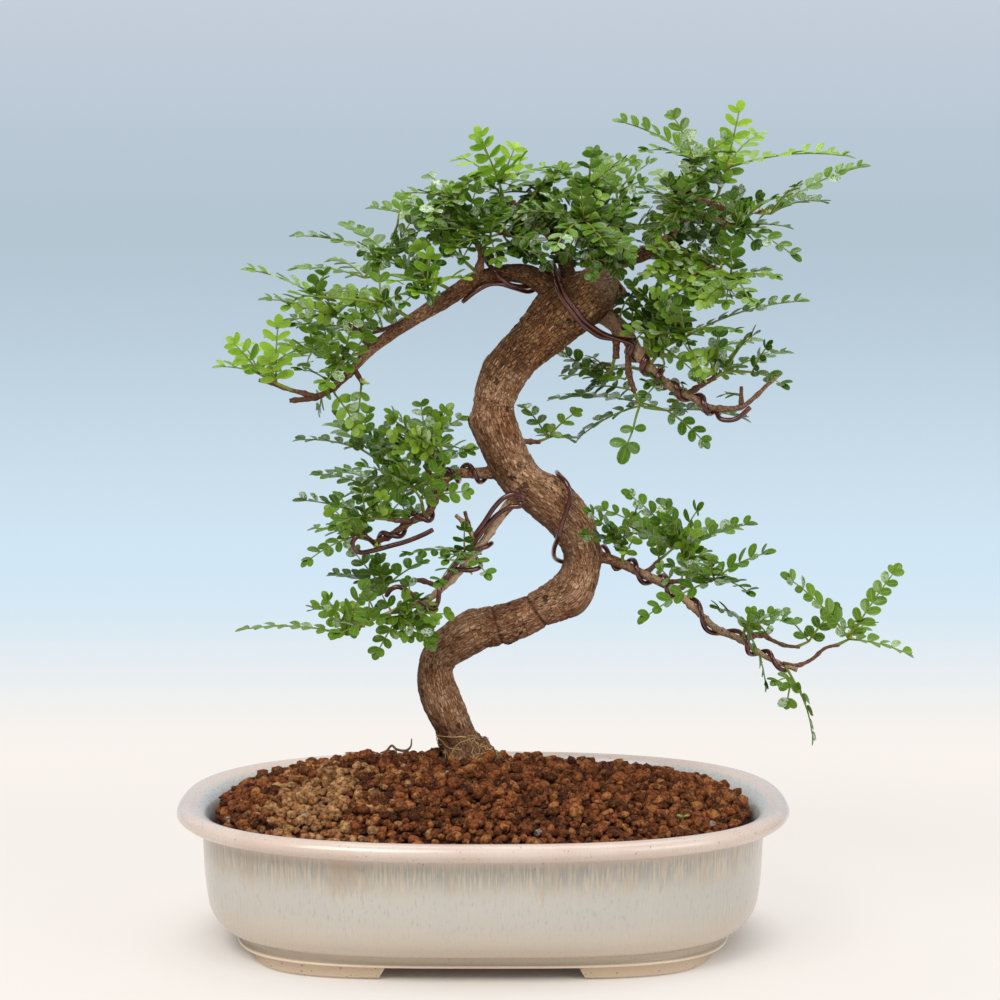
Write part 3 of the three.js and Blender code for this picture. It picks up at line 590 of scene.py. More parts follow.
def slanted_bar(half_top, along_y):
    """A bar wider at the ground than at the pot's underside."""
    low, top = -1.0, UNDERSIDE
    half_low = half_top + FOOT_SLANT
    outline = [(-half_low, low), (half_low, low), (half_top, top), (-half_top, top)]
    reach = 2 * FOOT_RINGS[-1][0]
    ends = [[(s, e, z) if along_y else (e, s, z) for s, z in outline] for e in (-reach, reach)]
    faces = [(0, 1, 2, 3), (7, 6, 5, 4), (0, 4, 5, 1), (1, 5, 6, 2), (2, 6, 7, 3), (3, 7, 4, 0)]
    bar_solid = solid_of(np.array(ends[0] + ends[1]), None, faces, "bar")
    fix = bmesh.new()
    fix.from_mesh(bar_solid.data)
    bmesh.ops.recalc_face_normals(fix, faces=fix.faces)
    fix.to_mesh(bar_solid.data)
    fix.free()
    return bar_solid


feet = solid_of(*closed_rings([oval_ring(*row) for row in FOOT_RINGS]), "feet")
carve(feet, slanted_bar(FOOT_GAP_FRONT, True), "DIFFERENCE")
carve(feet, slanted_bar(FOOT_GAP_END, False), "DIFFERENCE")
soft_edge = feet.modifiers.new("soft edge", "BEVEL")
soft_edge.width = EDGE_WIDTH * MM
soft_edge.segments = 2
soft_edge.angle_limit = math.radians(35)
keep_modifiers(feet)
carve(bowl, feet, "UNION")
for side in (-1, 1):
    turns = full_turn(DRAIN_SIDES)
    ring = np.column_stack([DRAIN_RADIUS * np.cos(turns), DRAIN_RADIUS * np.sin(turns), 0 * turns])
    stack = [ring + np.array([side * DRAIN_X, 0, z]) for z in DRAIN_REACH]
    carve(bowl, solid_of(*closed_rings(stack), "drain"), "DIFFERENCE")
print("the pot has", len(bowl.data.polygons), "faces")

# %% [markdown]
# Glaze is glass that ran while it melted. On this pot a milky celadon runs down the wall in fine
# streaks, breaks to a warm cream with small iron specks over the lip, thins to beige in the band
# above the feet, and leaves the feet bare. The zones follow the potter's dipping lines, so they
# are chosen by height and by which side of the wall a point is on, and noise stretched upright
# draws the runs. A clear coat over a soft base gives the glassy shine on top of the body colour.
# A fade is a pair of heights in metres: where a zone is still absent, and where it is full.

# %% Where each zone of the glaze is
pot_mesh = bowl.data
places = points_of(pot_mesh)
WALL_HEIGHTS = [12.5, 16.5, 34, 64, 78]
WALL_MIDDLE_X = [134, 141, 148, 149.6, 156]
WALL_MIDDLE_Y = [99.5, 106.5, 113, 115.3, 121.6]
middle_x = np.interp(places[:, 2], WALL_HEIGHTS, WALL_MIDDLE_X)
middle_y = np.interp(places[:, 2], WALL_HEIGHTS, WALL_MIDDLE_Y)
wall_share = np.abs(places[:, 0] / middle_x)**OVAL_POWER + np.abs(places[:, 1] / middle_y)**OVAL_POWER
inside = (wall_share < 1) & (places[:, 2] > WALL_HEIGHTS[0])
store_value(pot_mesh, "inside", inside)
print("points inside the bowl:", int(inside.sum()))


# %% Glazed stoneware
WALL_PALE = srgb(202, 195, 184)
WALL_GREY = srgb(188, 184, 176)
WALL_FLECK = srgb(152, 150, 146)
WALL_LOW = srgb(200, 186, 168)
STREAK_BLUE = srgb(162, 160, 154)
STREAK_PALE = srgb(204, 190, 168)
STREAK_TAN = srgb(188, 164, 136)
BAND_BEIGE = srgb(186, 172, 152)
RIDGE_CREAM = srgb(226, 204, 180)
LIP_CREAM = srgb(217, 200, 187)
LIP_PINK = srgb(212, 190, 176)
INNER_BLUE = srgb(184, 186, 184)
INNER_PALE = srgb(206, 202, 196)
IRON_BROWN = srgb(120, 90, 68)
CLAY_LIGHT = srgb(214, 192, 166)
CLAY_DARK = srgb(198, 176, 150)
LOW_FADE = (0.043, 0.020)
STREAK_FADE = (0.051, 0.061)
BAND_FADE = (0.0150, 0.0125)
RIDGE_FADES = ((0.0059, 0.0064), (0.0080, 0.0074))
LIP_FADE = (0.0595, 0.0655)
INSIDE_FADE = (0.0765, 0.0725)
SPECK_FADE = (0.056, 0.066)
CLAY_FADE = (0.0061, 0.0057)


def build_glaze():
    material, tree, shader = new_finish("glazed stoneware")
    place = own_place(tree)
    height = height_of(tree)
    runs = cloud(stretched(place, 1, 1, 0.06), 820.0, 4.0, 0.62)
    broad_runs = cloud(stretched(place, 1, 1, 0.10), 95.0, 3.0, 0.55)
    short_flecks = cloud(stretched(place, 1, 1, 0.28), 760.0, 3.0, 0.6)
    patches = mottled(place, 22.0, 1.5)
    wall = blend(patches, WALL_PALE, WALL_GREY)
    wall = blend(rise(short_flecks, 0.54, 0.70) * 0.42, wall, WALL_FLECK)
    lower = height + broad_runs * 0.010
    wall = blend(rise(lower, *LOW_FADE), wall, WALL_LOW)
    streak = blend(rise(runs, 0.40, 0.62), STREAK_BLUE, STREAK_PALE)
    tan_runs = rise(broad_runs, 0.46, 0.7) * rise(runs, 0.36, 0.56)
    streak = blend(tan_runs, streak, STREAK_TAN)
    fringe = (runs - 0.5) * 0.030
    fringe = fringe + broad_runs * 0.012
    streak_share = rise(height + fringe, *STREAK_FADE)
    wall = blend(streak_share * 0.85, wall, streak)
    band_edge = height + runs * 0.003
    wall = blend(rise(band_edge, *BAND_FADE), wall, BAND_BEIGE)
    ridge_foot, ridge_top = (rise(height, *fade) for fade in RIDGE_FADES)
    ridge = ridge_foot * ridge_top
    wall = blend(ridge, wall, RIDGE_CREAM)
    lip = blend(rise(patches, 0.3, 0.7), LIP_CREAM, LIP_PINK)
    lip_edge = height + runs * -0.004
    colour = blend(rise(lip_edge, *LIP_FADE), wall, lip)
    in_colour = blend(rise(runs, 0.35, 0.65), INNER_BLUE, INNER_PALE)
    in_share = stored(tree, "inside") * rise(height, *INSIDE_FADE)
    colour = blend(in_share, colour, in_colour)
    dots = dotted(stretched(place, 1.2, 1.2, 0.8), 560.0, 0.24, 0.22)
    dots_where = calculate("ADD", rise(height, *SPECK_FADE), 0.12, clamp=True)
    dots = dots * (dots_where * 0.55)
    colour = blend(dots, colour, IRON_BROWN)
    clay_share = rise(height, *CLAY_FADE)
    clay = blend(patches, CLAY_LIGHT, CLAY_DARK)
    clay_dots = dotted(place, 540.0, 0.3, 0.3)
    clay = blend(clay_dots * 0.6, clay, IRON_BROWN)
    colour = blend(clay_share, colour, clay)
    pits = grit_of(place, 700.0, 0.2)
    clay_bump = relief(pits * clay_share, 0.25)
    waves = broad_runs * 1.5
    waves = waves + runs * 0.4
    skin = relief(waves, 0.07, under=clay_bump)
    gloss = blend(clay_share, (0.30, 0.30, 0.30, 1), (0.62, 0.62, 0.62, 1))
    rough = gloss + (runs - 0.5) * 0.25
    coat = (1.0 - clay_share) * 0.4
    set_shader(shader, Base_Color=colour, Roughness=rough, Normal=skin, Coat_Weight=coat,
               Coat_Roughness=0.1)
    return material


glaze = build_glaze()
pot_mesh.shade_smooth()
bpy.data.objects.remove(bowl)
piece("pot_glazed", pot_mesh, glaze, ["pot"])

# %% [markdown]
# The tree stands in baked clay granules, crumbs of four to eight millimetres with air between
# them. A bumpy sheet would look like carpet: the eye reads separate crumbs from the gaps and
# from the ones that lie on top. So a few crumb shapes are made by pressing flats onto a ball,
# and thousands of turned and stretched copies are laid in one mesh over a mound painted dark
# brown as the shade in the gaps between them, which stands for the model's soil.

# %% The mound
SOIL_EDGE = 71.0
SOIL_MOUND = 27.0
SOIL_LEAN = 0.04
BACK_FALL = 0.31
SOIL_HALF = (145.6, 111.1)
SOIL_WALLS = [(135.1, 101.1, 13.35), (143.6, 109.1, 34.0), (145.6, 111.1, 64.0)]
MOUND_RINGS = 26
BELOW_CRUMBS = 3.6


def soil_height(x, y):
    """Height of the mound's surface, in millimetres above the ground."""
    share = (np.abs(x / SOIL_HALF[0])**OVAL_POWER + np.abs(y / SOIL_HALF[1])**OVAL_POWER)
    share = np.minimum(share**(1 / OVAL_POWER), 1)
    slope = SOIL_LEAN * x + BACK_FALL * np.maximum(y, 0)
    return SOIL_EDGE + SOIL_MOUND * (1 - share**3) - slope * (1 - share**2)


def build_mound():
    rings = [oval_ring(*row, sides=96) for row in SOIL_WALLS]
    for share in np.linspace(1, 0.02, MOUND_RINGS):
        ring = oval_ring(SOIL_HALF[0] * share, SOIL_HALF[1] * share, 0, sides=96)
        ring[:, 2] = soil_height(ring[:, 0], ring[:, 1]) - BELOW_CRUMBS
        rings.append(ring)
    heap = Heap()
    heap.add(*closed_rings(rings))
    return heap.mesh("soil_mound")


# %% Crumb shapes, and where they lie
CRUMB_SHAPES = 14
CRUMB_STEP = 4.75
LOOSE_CRUMBS = 1150
CRUMB_FLATS = 5
CRUMB_JITTER = 1.3
CRUMB_ROWS = 32
CRUMB_COLUMNS = 38
BIG_SHARE = 0.12
draw = np.random.default_rng(41)


def crumb_shape():
    """A ball with lumps, pressed flat in some places, about 1 mm in radius."""
    ball = bmesh.new()
    bmesh.ops.create_icosphere(ball, subdivisions=2, radius=1.0)
    points = np.array([vert.co for vert in ball.verts])
    triangles = np.array([[vert.index for vert in face.verts] for face in ball.faces])
    ball.free()
    shift = Vector(draw.uniform(-40, 40, 3))
    lumps = np.array([noise.noise(Vector(point) * 1.5 + shift) for point in points])
    pimples = np.array([noise.noise(Vector(point) * 4.0 + shift) for point in points])
    points = points * (1 + 0.42 * lumps + 0.34 * pimples)[:, None]
    for _ in range(CRUMB_FLATS):
        way = unit(draw.normal(size=3))
        over = np.maximum(points @ way - draw.uniform(0.68, 0.92), 0)
        points = points - 0.85 * over[:, None] * way
    return points, triangles


def random_turn():
    """A rotation with no favoured direction."""
    square, _ = np.linalg.qr(draw.normal(size=(3, 3)))
    return square * np.sign(np.linalg.det(square))


def crumb_places():
    """x, y and layer for every crumb: a jittered honeycomb, then loose ones on top."""
    rows = []
    for j in range(-CRUMB_ROWS, CRUMB_ROWS + 1):
        for i in range(-CRUMB_COLUMNS, CRUMB_COLUMNS + 1):
            x = (i + 0.5 * (j % 2)) * CRUMB_STEP + draw.uniform(-CRUMB_JITTER, CRUMB_JITTER)
            y = j * CRUMB_STEP * 0.866 + draw.uniform(-CRUMB_JITTER, CRUMB_JITTER)
            rows.append((x, y, 0))
    for _ in range(LOOSE_CRUMBS):
        rows.append((draw.uniform(-144, 144), draw.uniform(-110, 110), 1))
    rows = np.array(rows)
    share = np.abs(rows[:, 0] / 144.4)**OVAL_POWER + np.abs(rows[:, 1] / 109.9)**OVAL_POWER
    return rows[share < 1]


def build_crumbs():
    shapes = [crumb_shape() for _ in range(CRUMB_SHAPES)]
    heaps = {"left": Heap("tone", "tan", "white"), "right": Heap("tone", "tan", "white")}
    for x, y, layer in crumb_places():
        points, triangles = shapes[draw.integers(CRUMB_SHAPES)]
        size = draw.uniform(3.3, 4.3) if draw.random() < BIG_SHARE else draw.uniform(2.0, 3.2)
        sinks = -2.2 if layer == 0 else 0.55 * size - 1.2
        stretch = draw.uniform(0.8, 1.2, 3)
        placed = (points * stretch * size) @ random_turn().T
        placed[:, 2] = placed[:, 2] * 0.86 + soil_height(x, y) + sinks + draw.uniform(-0.9, 0.7)
        placed[:, :2] += (x, y)
        patch = math.exp(-((x + 86) / 27)**2 - ((y + 62) / 52)**2)
        tan = float(draw.random() < 1.15 * patch) * draw.uniform(0.3, 1.0)
        white = float(draw.random() < (0.02 if x < -70 and y < -60 else 0.003))
        heap = heaps["left" if x < 0 else "right"]
        heap.add(placed, triangles=triangles, tone=draw.random(), tan=tan, white=white)
    return heaps


crumb_heaps = build_crumbs()
print("crumb points:", {side: heap.count for side, heap in crumb_heaps.items()})

# %% [markdown]
# Damp baked clay is a dull red-brown, a little different from crumb to crumb, paler where it has
# dried. It has almost no shine. The colour is chosen by a value kept on each crumb, so that one
# crumb has one colour; the fine crust comes from the shared group.

# %% Baked clay
SOIL_DARK = srgb(104, 58, 31)
SOIL_RED = srgb(180, 104, 58)
SOIL_OCHRE = srgb(208, 138, 80)
SOIL_TAN = srgb(240, 184, 126)
SOIL_WHITE = srgb(206, 190, 166)


def build_clay():
    material, tree, shader = new_finish("baked clay granules")
    place = own_place(tree)
    colour = blend(rise(stored(tree, "tone"), 0.0, 0.75), SOIL_DARK, SOIL_RED)
    ochre = rise(stored(tree, "tone"), 0.72, 1.0)
    colour = blend(ochre, colour, SOIL_OCHRE)
    colour = blend(stored(tree, "tan"), colour, SOIL_TAN)
    colour = blend(stored(tree, "white"), colour, SOIL_WHITE)
    tone = mottled(place, 330.0, 2.2)
    colour = blend(rise(tone, 0.75, 0.15), colour, (0.30, 0.24, 0.20, 1), "MULTIPLY")
    grit = grit_of(place, 1100.0, 0.45)
    pits = cloud(place, 820.0, 4.0, 0.7)
    # The hollows of this noise, which the bump also sinks, are painted darker, partly pit colour and partly
    # painted shade; its tops are painted tan, partly as painted highlight.
    colour = blend(rise(pits, 0.5, 0.34), colour, (0.34, 0.28, 0.24, 1), "MULTIPLY")
    colour = blend(rise(pits, 0.56, 0.7) * 0.5, colour, SOIL_TAN)
    dusty = 0.86 + tone * 0.12
    rough_skin = relief(grit + pits, 1.3)
    set_shader(shader, Base_Color=colour, Roughness=dusty, Normal=rough_skin, Specular_IOR_Level=0.2)
    return material


def build_gap_soil():
    material, tree, shader = new_finish("shaded soil")
    place = own_place(tree)
    tone = mottled(place, 260.0, 2.0)
    # The mound's dark brown is painted shade: it shows the gaps between the crumbs as shaded.
    colour = blend(tone, srgb(38, 20, 12), srgb(82, 44, 26))
    grit = grit_of(place, 900.0, 0.5)
    damp = 0.84 + tone * 0.12
    set_shader(shader, Base_Color=colour, Roughness=damp, Normal=relief(grit, 1.2), Specular_IOR_Level=0.2)
    return material


clay = build_clay()
piece("soil_mound", build_mound(), build_gap_soil(), ["soil"])
piece("soil_crumbs_left", crumb_heaps["left"].mesh("crumbs left"), clay)
piece("soil_crumbs_right", crumb_heaps["right"].mesh("crumbs right"), clay)

# %% [markdown]
# The trunk is the heart of the tree: an S with three bends, thick where it leaves the soil,
# swelling at each bend, with branches that leave it at knots. It is drawn as its left and right
# edge in the front view, so that each bend keeps the width the real one has there.

# %% The trunk, from its two edges
TRUNK = [
    (-9, 54, 6, 54, 0), (-21, 84, 13, 84, 0), (-22.5, 95, 8.5, 94, 0), (-23.5, 103, 1, 101, -1),
    (-26, 111, -3, 109.5, -2), (-31, 120.5, -7, 118, -3), (-34.6, 130, -11, 128, -4),
    (-36, 140.5, -14.5, 137, -4), (-35, 150, -16.8, 143, -4), (-32.3, 158, -16, 147.4, -3),
    (-28, 164.2, -13.5, 149.6, -3), (-20, 171, -9.5, 151.6, -2), (-11, 177, -4, 154.4, -1),
    (2, 180, 3.5, 157.8, 0), (14, 183, 13, 160.3, 1), (27, 188.4, 26, 164.6, 3),
    (34.5, 193, 34.5, 169.8, 3), (39.4, 197.4, 44, 173.2, 4), (42, 201, 53, 176.4, 4),
    (43.4, 204, 58.6, 182.6, 4), (44.2, 206.4, 62, 191, 4), (44, 208.6, 64.2, 200, 4),
    (42.6, 212, 64.8, 209, 4), (38.8, 219, 62.4, 219.5, 4), (33.8, 224.4, 60, 229.5, 3),
    (25, 231.8, 53.4, 239, 2), (12.4, 241.8, 43, 249.6, 0), (6.4, 250.6, 31.5, 255.4, 0),
    (1, 261, 25.4, 263.6, -2), (-6, 275.4, 20.2, 276, -3), (-7.6, 283, 17.8, 283.4, -3),
    (-5.2, 290, 16.4, 289, -3), (-3.8, 300, 19.4, 296.6, -2), (0.6, 314, 27.4, 307.6, -1),
    (10.6, 326, 38.4, 317.4, 0), (21, 338, 50, 326, 1), (31.6, 351.4, 61.4, 335, 2),
    (47, 361, 70.4, 343.4, 3), (57, 364.4, 74.8, 346.6, 3), (66.2, 367.4, 77.6, 350.6, 3),
]
ROOTS = {
    "right": [(-4, 104, -2, 7), (5, 95, -5, 5), (14, 87, -9, 3.6), (26, 78, -13, 2.5)],
    "front": [(-14, 102, -6, 7), (-14, 95, -14, 5.4), (-16, 86, -25, 3)],
    "back": [(-8, 105, 4, 8), (-4, 97, 15, 6), (0, 86, 27, 3)],
}
trunk_left = np.array([seen(x, z, depth) for x, z, _, _, depth in TRUNK])
trunk_right = np.array([seen(x, z, depth) for _, _, x, z, depth in TRUNK])
trunk_middle = (trunk_left + trunk_right) / 2
TRUNK_RINGS = 170
TRUNK_SIDES = 40
edges = smooth_line(np.column_stack([trunk_middle, trunk_left, trunk_right]), TRUNK_RINGS)


def build_trunk():
    rings = []
    turns = full_turn(TRUNK_SIDES)
    for middle, left, right in zip(edges[:, :3], edges[:, 3:6], edges[:, 6:]):
        across = (right - left) / 2
        ring = middle + np.cos(turns)[:, None] * across
        ring[:, 1] += np.linalg.norm(across) * np.sin(turns)
        rings.append(ring)
    return closed_rings(rings)


print("the trunk is", round(float(np.linalg.norm(np.diff(edges[:, :3], axis=0), axis=1).sum())), "mm long")

# %% [markdown]
# Every branch is a row of points with its radius: x, z, depth and half its thickness, as a
# grower's sketch would give them. Thick ones melt into the trunk; twigs are added as fine bars,
# because a remesh coarse enough for the trunk would eat them.

# %% The branches
BOUGHS = {
    "upper_left": [
        (42, 350, 0, 7), (25, 360.5, -2, 5.6), (12, 362, -5, 4.9), (-5, 357, -8, 4.6),
        (-20, 348, -12, 4.4), (-38, 337, -15, 3.6), (-60, 321.5, -18, 2.8), (-76, 305, -20, 2.2),
        (-84, 298.5, -21, 1.9), (-92, 295, -22, 1.7), (-105, 293.5, -23, 1.3),
    ],
    "upper_left_fork": [
        (-90, 295.5, -22, 1.6), (-97, 297.5, -23, 1.4), (-105, 299.5, -24, 1.2), (-113, 302.3, -25, 1.1),
        (-121.5, 304.8, -26, 0.9),
    ],
    "left_spur": [(-61, 321.5, -18, 2), (-65, 329, -19, 1.7), (-67, 338, -20, 1.2)],
    "left_spur_side": [(-64.5, 328, -19, 1.5), (-70, 333, -22, 1.2), (-75, 336, -24, 0.9)],
    "left_thin_twig": [(-42, 336, -16, 1.4), (-52, 332.6, -18, 1.1), (-63, 329, -19, 1)],
    "left_stub": [(-70, 311, -19, 1.7), (-66.5, 305, -20, 1.4), (-64.9, 302.2, -21, 1.1)],
    "crown_right": [
        (52, 350, 8, 6.5), (66, 365, 14, 5), (84, 371, 12, 4.2), (98, 377, 6, 3.6),
        (104, 390, 0, 3.1), (110, 402, -4, 2.4), (114, 411, -6, 1.7),
    ],
    "crown_side": [(104, 391, -1, 3), (119, 393, -8, 2.4), (131, 388, -12, 1.8)],
    "crown_far": [
        (111, 403, -4, 2.2), (122, 399, 2, 1.8), (132, 395.5, 8, 1.5), (150, 394, 18, 1.1),
    ],
    "crown_left": [
        (46, 350, 4, 6), (44, 368, 10, 4.2), (38, 380, 10, 3.3), (28, 390, 6, 2.6), (17, 398, 2, 2),
        (10, 402, 0, 1.5),
    ],
    "crown_middle": [(58, 356, 4, 5), (62, 374, 0, 3.6), (64, 388, -8, 2.6), (60, 400, -14, 1.8)],
    "crown_back": [(66, 365, 14, 4), (72, 376, 28, 3), (74, 388, 44, 2.2), (73, 395, 56, 1.5)],
    "crown_low": [(98, 377, 6, 3), (112, 372, -14, 2), (122, 367, -27, 1.4)],
    "crown_twig": [(-4, 358, -8, 2.6), (-1, 372, -12, 1.9), (-6, 384, -18, 1.4)],
    "mid_right": [
        (62, 342, 4, 6), (76, 330, 4, 4.4), (83, 320, 0, 3.6), (88, 314, -3, 3.2),
        (94, 307, -6, 2.6), (100, 302, -9, 2.4), (110, 297, -12, 2.2), (122, 290, -16, 1.9),
        (130, 289, -18, 1.7), (140, 290, -20, 1.5), (148, 296, -22, 1.3), (155, 303, -24, 1.2),
        (161, 308, -25, 1),
    ],
    "mid_right_stub": [(111, 297, -12, 1.7), (119, 302, -14, 1.5), (126, 306, -15, 1.2)],
    "mid_right_nub": [(140, 290, -20, 1.4), (140, 301, -17, 1)],
    "mid_right_upper": [(76, 330, 4, 3), (91, 337, 10, 2), (104, 344, 14, 1.4)],
    "mid_right_back": [(82, 321, 0, 2.6), (91, 318, 20, 1.8), (102, 316, 37, 1.3)],
    "hanging_stub": [(70, 340, 4, 2.8), (72, 328, 4, 2.3), (72, 316, 0, 1.9)],
    "mid_right_low": [(79, 326, 4, 2.2), (79, 308, 6, 1.8), (82, 298, 10, 1.5)],
    "trunk_twig": [(12, 271, 2, 2), (22, 270.5, 10, 1.6), (31, 270, 14, 1.2)],
    "mid_left": [
        (14, 254, -1, 4), (-3, 253.5, -4, 3.2), (-12, 253.5, -6, 2.8), (-18, 252, -7, 2.6),
        (-24, 245, -9, 2.4), (-30, 232, -12, 2.2), (-40, 227, -15, 2), (-52, 219, -18, 1.8),
        (-60, 216, -20, 1.4),
    ],
    "mid_left_side": [(-18, 252, -7, 2.2), (-28, 250, -2, 1.9), (-38, 249, 4, 1.5)],
    "mid_left_up": [(-27, 250, -2, 1.5), (-32, 258, -4, 1.2)],
    "mid_left_front": [(-39, 227.5, -15, 1.7), (-52, 229, -26, 1.2)],
    "low_left": [
        (26, 246, -2, 4), (14, 236, -5, 3.2), (8, 228, -8, 2.6), (0, 216, -11, 2.3),
        (-14, 199, -15, 2.2), (-20, 193, -17, 2), (-33, 183, -20, 1.8), (-45, 180, -23, 1.6),
        (-55, 176, -25, 1.2),
    ],
    "low_left_stub": [(-3, 212, -12, 1.8), (-8, 224, -14, 1.4), (-15, 231, -15, 1.1)],
    "low_left_nub": [(-7, 222, -14, 1.3), (-10, 233, -12, 1)],
    "low_left_back": [(-22, 191, -17, 1.7), (-36, 195, -6, 1.3), (-45, 190, 3, 1)],
    "low_right": [
        (52, 211, 4, 5), (63, 208, 2, 3.3), (70, 206, 0, 2.9), (78, 203, -3, 2.8),
        (88, 198, -6, 2.6), (97, 194, -8, 2.5), (104, 190, -10, 2.3), (115, 180, -13, 2.1),
        (127, 169, -16, 2), (142, 162, -19, 1.8), (150, 156, -20, 1.6), (158, 151.5, -21, 1.4),
        (172, 146, -23, 1.1),
    ],
    "low_right_end": [
        (164, 149.5, -22, 1.4), (172, 148.5, -21, 1.2), (180, 152, -20, 1.1), (187, 158, -20, 1),
        (195, 160, -20, 0.9),
    ],
    "low_right_upper": [
        (141, 162.5, -19, 1.5), (152, 165, -12, 1.3), (158, 162, -6, 1.2), (165, 159, -2, 1.1),
        (173, 158, 1, 0.9),
    ],
    "low_right_twig": [(104, 190, -10, 1.7), (111, 193, -4, 1.3), (111, 201, 2, 1.1)],
    "low_right_back": [(88, 198, -6, 1.8), (96, 205, 12, 1.2)],
    "low_right_front": [(97, 194, -8, 1.6), (110, 195, -21, 1.2)],
}
bough_rows = {name: drawn(rows) for name, rows in {**ROOTS, **BOUGHS}.items()}
STOUT = 2.2
LIMB_STEP = 1.3
THINNEST = 0.45


def limb(rows):
    """A branch's smooth line and radii at even steps."""
    length = np.linalg.norm(np.diff(rows[:, :3], axis=0), axis=1).sum()
    line = smooth_line(rows, max(6, int(length / LIMB_STEP)))
    return line[:, :3], np.maximum(line[:, 3], THINNEST)


limbs = {name: limb(rows) for name, rows in bough_rows.items()}
trunk_radii = np.linalg.norm(edges[:, 6:] - edges[:, 3:6], axis=1) / 2
limbs["trunk"] = (edges[:, :3], trunk_radii)
print(len(limbs), "limbs, the stoutest", round(float(trunk_radii.max()), 1), "mm in radius")

# %% [markdown]
# The limbs are separate tubes that pass through each other. A voxel remesh walks over all of
# them at once and gives one skin with a soft fillet at every fork, as wood grows there. Its
# points are then pushed in and out: lengthwise folds, swollen knots where old branches were
# cut, and the dark grooves that earlier wire bit into the bark.

# %% One skin over trunk and boughs
VOXEL = 0.85
BARK_SIDES = 20


def build_skin():
    heap = Heap()
    heap.add(*build_trunk())
    for name, (line, radii) in limbs.items():
        stout = np.flatnonzero(radii >= STOUT)
        if name == "trunk" or len(stout) < 4:
            continue
        end = min(stout[-1] + 2, len(line))
        heap.add(*bar(line[:end], radii[:end], BARK_SIDES))
    skin = put("skin", heap.mesh("skin"))
    shell = skin.modifiers.new("one skin", "REMESH")
    shell.mode = "VOXEL"
    shell.voxel_size = VOXEL * MM
    fair = skin.modifiers.new("fair", "SMOOTH")
    fair.factor = 0.5
    fair.iterations = 4
    keep_modifiers(skin)
    mesh = skin.data
    bpy.data.objects.remove(skin)
    return mesh


wood_mesh = build_skin()
print("wood skin points:", len(wood_mesh.vertices))

# %% [markdown]
# Bark runs along its branch, not along the room's axes. So every point of the skin looks up the
# nearest place on a limb's middle line and keeps how far along the limb and which way round it
# lies, as a straightened position. Grain drawn in that position bends with the trunk by itself.

# %% Straightened bark positions
NEAR_SAMPLES = 36


def search_tree(points):
    """A tree that finds the nearest of these points quickly."""
    tree = kdtree.KDTree(len(points))
    for index, point in enumerate(points):
        tree.insert(point, index)
    tree.balance()
    return tree


def straighten(points):
    """For each point: its place on a straightened limb, the limb's radius there and its number."""
    samples, ways, frames, runs, radii, owners = [], [], [], [], [], []
    for order, (line, line_radii) in enumerate(limbs.values()):
        sides, ups = carried_frames(line)
        steps = np.linalg.norm(np.diff(line, axis=0), axis=1)
        run = np.concatenate([[0], np.cumsum(steps)]) + 190 * order
        samples.append(line)
        ways.append(sides)
        frames.append(ups)
        runs.append(run)
        radii.append(line_radii)
        owners.append(np.full(len(line), order))
    samples, ways, frames = map(np.concatenate, (samples, ways, frames))
    runs, radii, owners = map(np.concatenate, (runs, radii, owners))
    tree = search_tree(samples)
    nearest = np.empty(len(points), int)
    for index, point in enumerate(points):
        found = tree.find_n(point, NEAR_SAMPLES)
        nearest[index] = min(found, key=lambda hit: hit[2] / radii[hit[1]])[1]
    off = points - samples[nearest]
    around = np.column_stack([(off * ways[nearest]).sum(1), (off * frames[nearest]).sum(1)])
    straight = np.column_stack([around, runs[nearest]])
    return straight, radii[nearest], owners[nearest]


skin_points = points_of(wood_mesh)
bark_place, limb_radius, limb_number = straighten(skin_points)
print("bark runs over", round(float(np.ptp(bark_place[:, 2]))), "mm of straightened limbs")

# %% Knots, folds and wire marks in the bark
KNOTS = [
    (16.2, 252, -1, 4.4, 1.0), (23, 248, -1, 3.0, 0.8), (39.5, 248.5, -1, 5.2, 1.7),
    (-6.8, 281.5, -1, 4.0, 1.7), (8, 303, -1, 3.4, 0.8), (34, 185.7, -1, 4.2, 0.9),
    (20, 167, -1, 3.6, 1.6), (14.6, 161, -1, 2.0, 1.8), (-6, 178.6, -1, 3.0, 1.4), (-33, 136, -1, 3.0, 0.6),
    (-14, 117, -1, 3.4, 0.8), (13, 289, -1, 2.8, 0.5), (70, 364, -1, 3.6, 1.3),
    (74, 354, -1, 3.2, 1.1), (62, 366, -1, 3.0, 1.0), (46, 336, -1, 3.0, 0.6),
    (-25, 153, 1, 4.0, 1.3), (50, 194, 1, 4.2, 1.4), (8, 290, 1, 4.0, 1.3), (28, 240, 1, 4.4, 1.2),
    (40, 345, 1, 4.0, 1.2), (-10, 176, 1, 3.4, 1.0),
]
WIRE_MARKS = [((5, 180), (10, 162)), ((23, 187), (33, 172))]


def knot_places(points, normals):
    """The skin point under each drawn knot, on the side that its third value names."""
    middles = []
    for x, z, side, _, _ in KNOTS:
        off = np.hypot(points[:, 0] - x, points[:, 2] - z)
        off = off + 1000 * (np.sign(normals[:, 1]) != side)
        middles.append(points[np.argmin(off)])
    return middles


def knot_nearness(points, middles):
    """1 in the middle of a knot, 0 at its edge and beyond."""
    near = np.zeros(len(points))
    for middle, (_, _, _, reach, _) in zip(middles, KNOTS):
        off = points - middle
        close = np.flatnonzero(np.linalg.norm(off, axis=1) < 2.4 * reach)
        uneven = np.array([noise.noise(Vector(row * 0.42)) + 0.6 * noise.noise(Vector(row * 1.1))
                           for row in off[close] + 7 * middle])
        away = np.linalg.norm(off[close] * (1.0, 1.0, 0.8), axis=1) / reach * (1 + 0.75 * uneven)
        near[close] = np.maximum(near[close], np.clip(1 - away / 1.5, 0, 1))
    return near


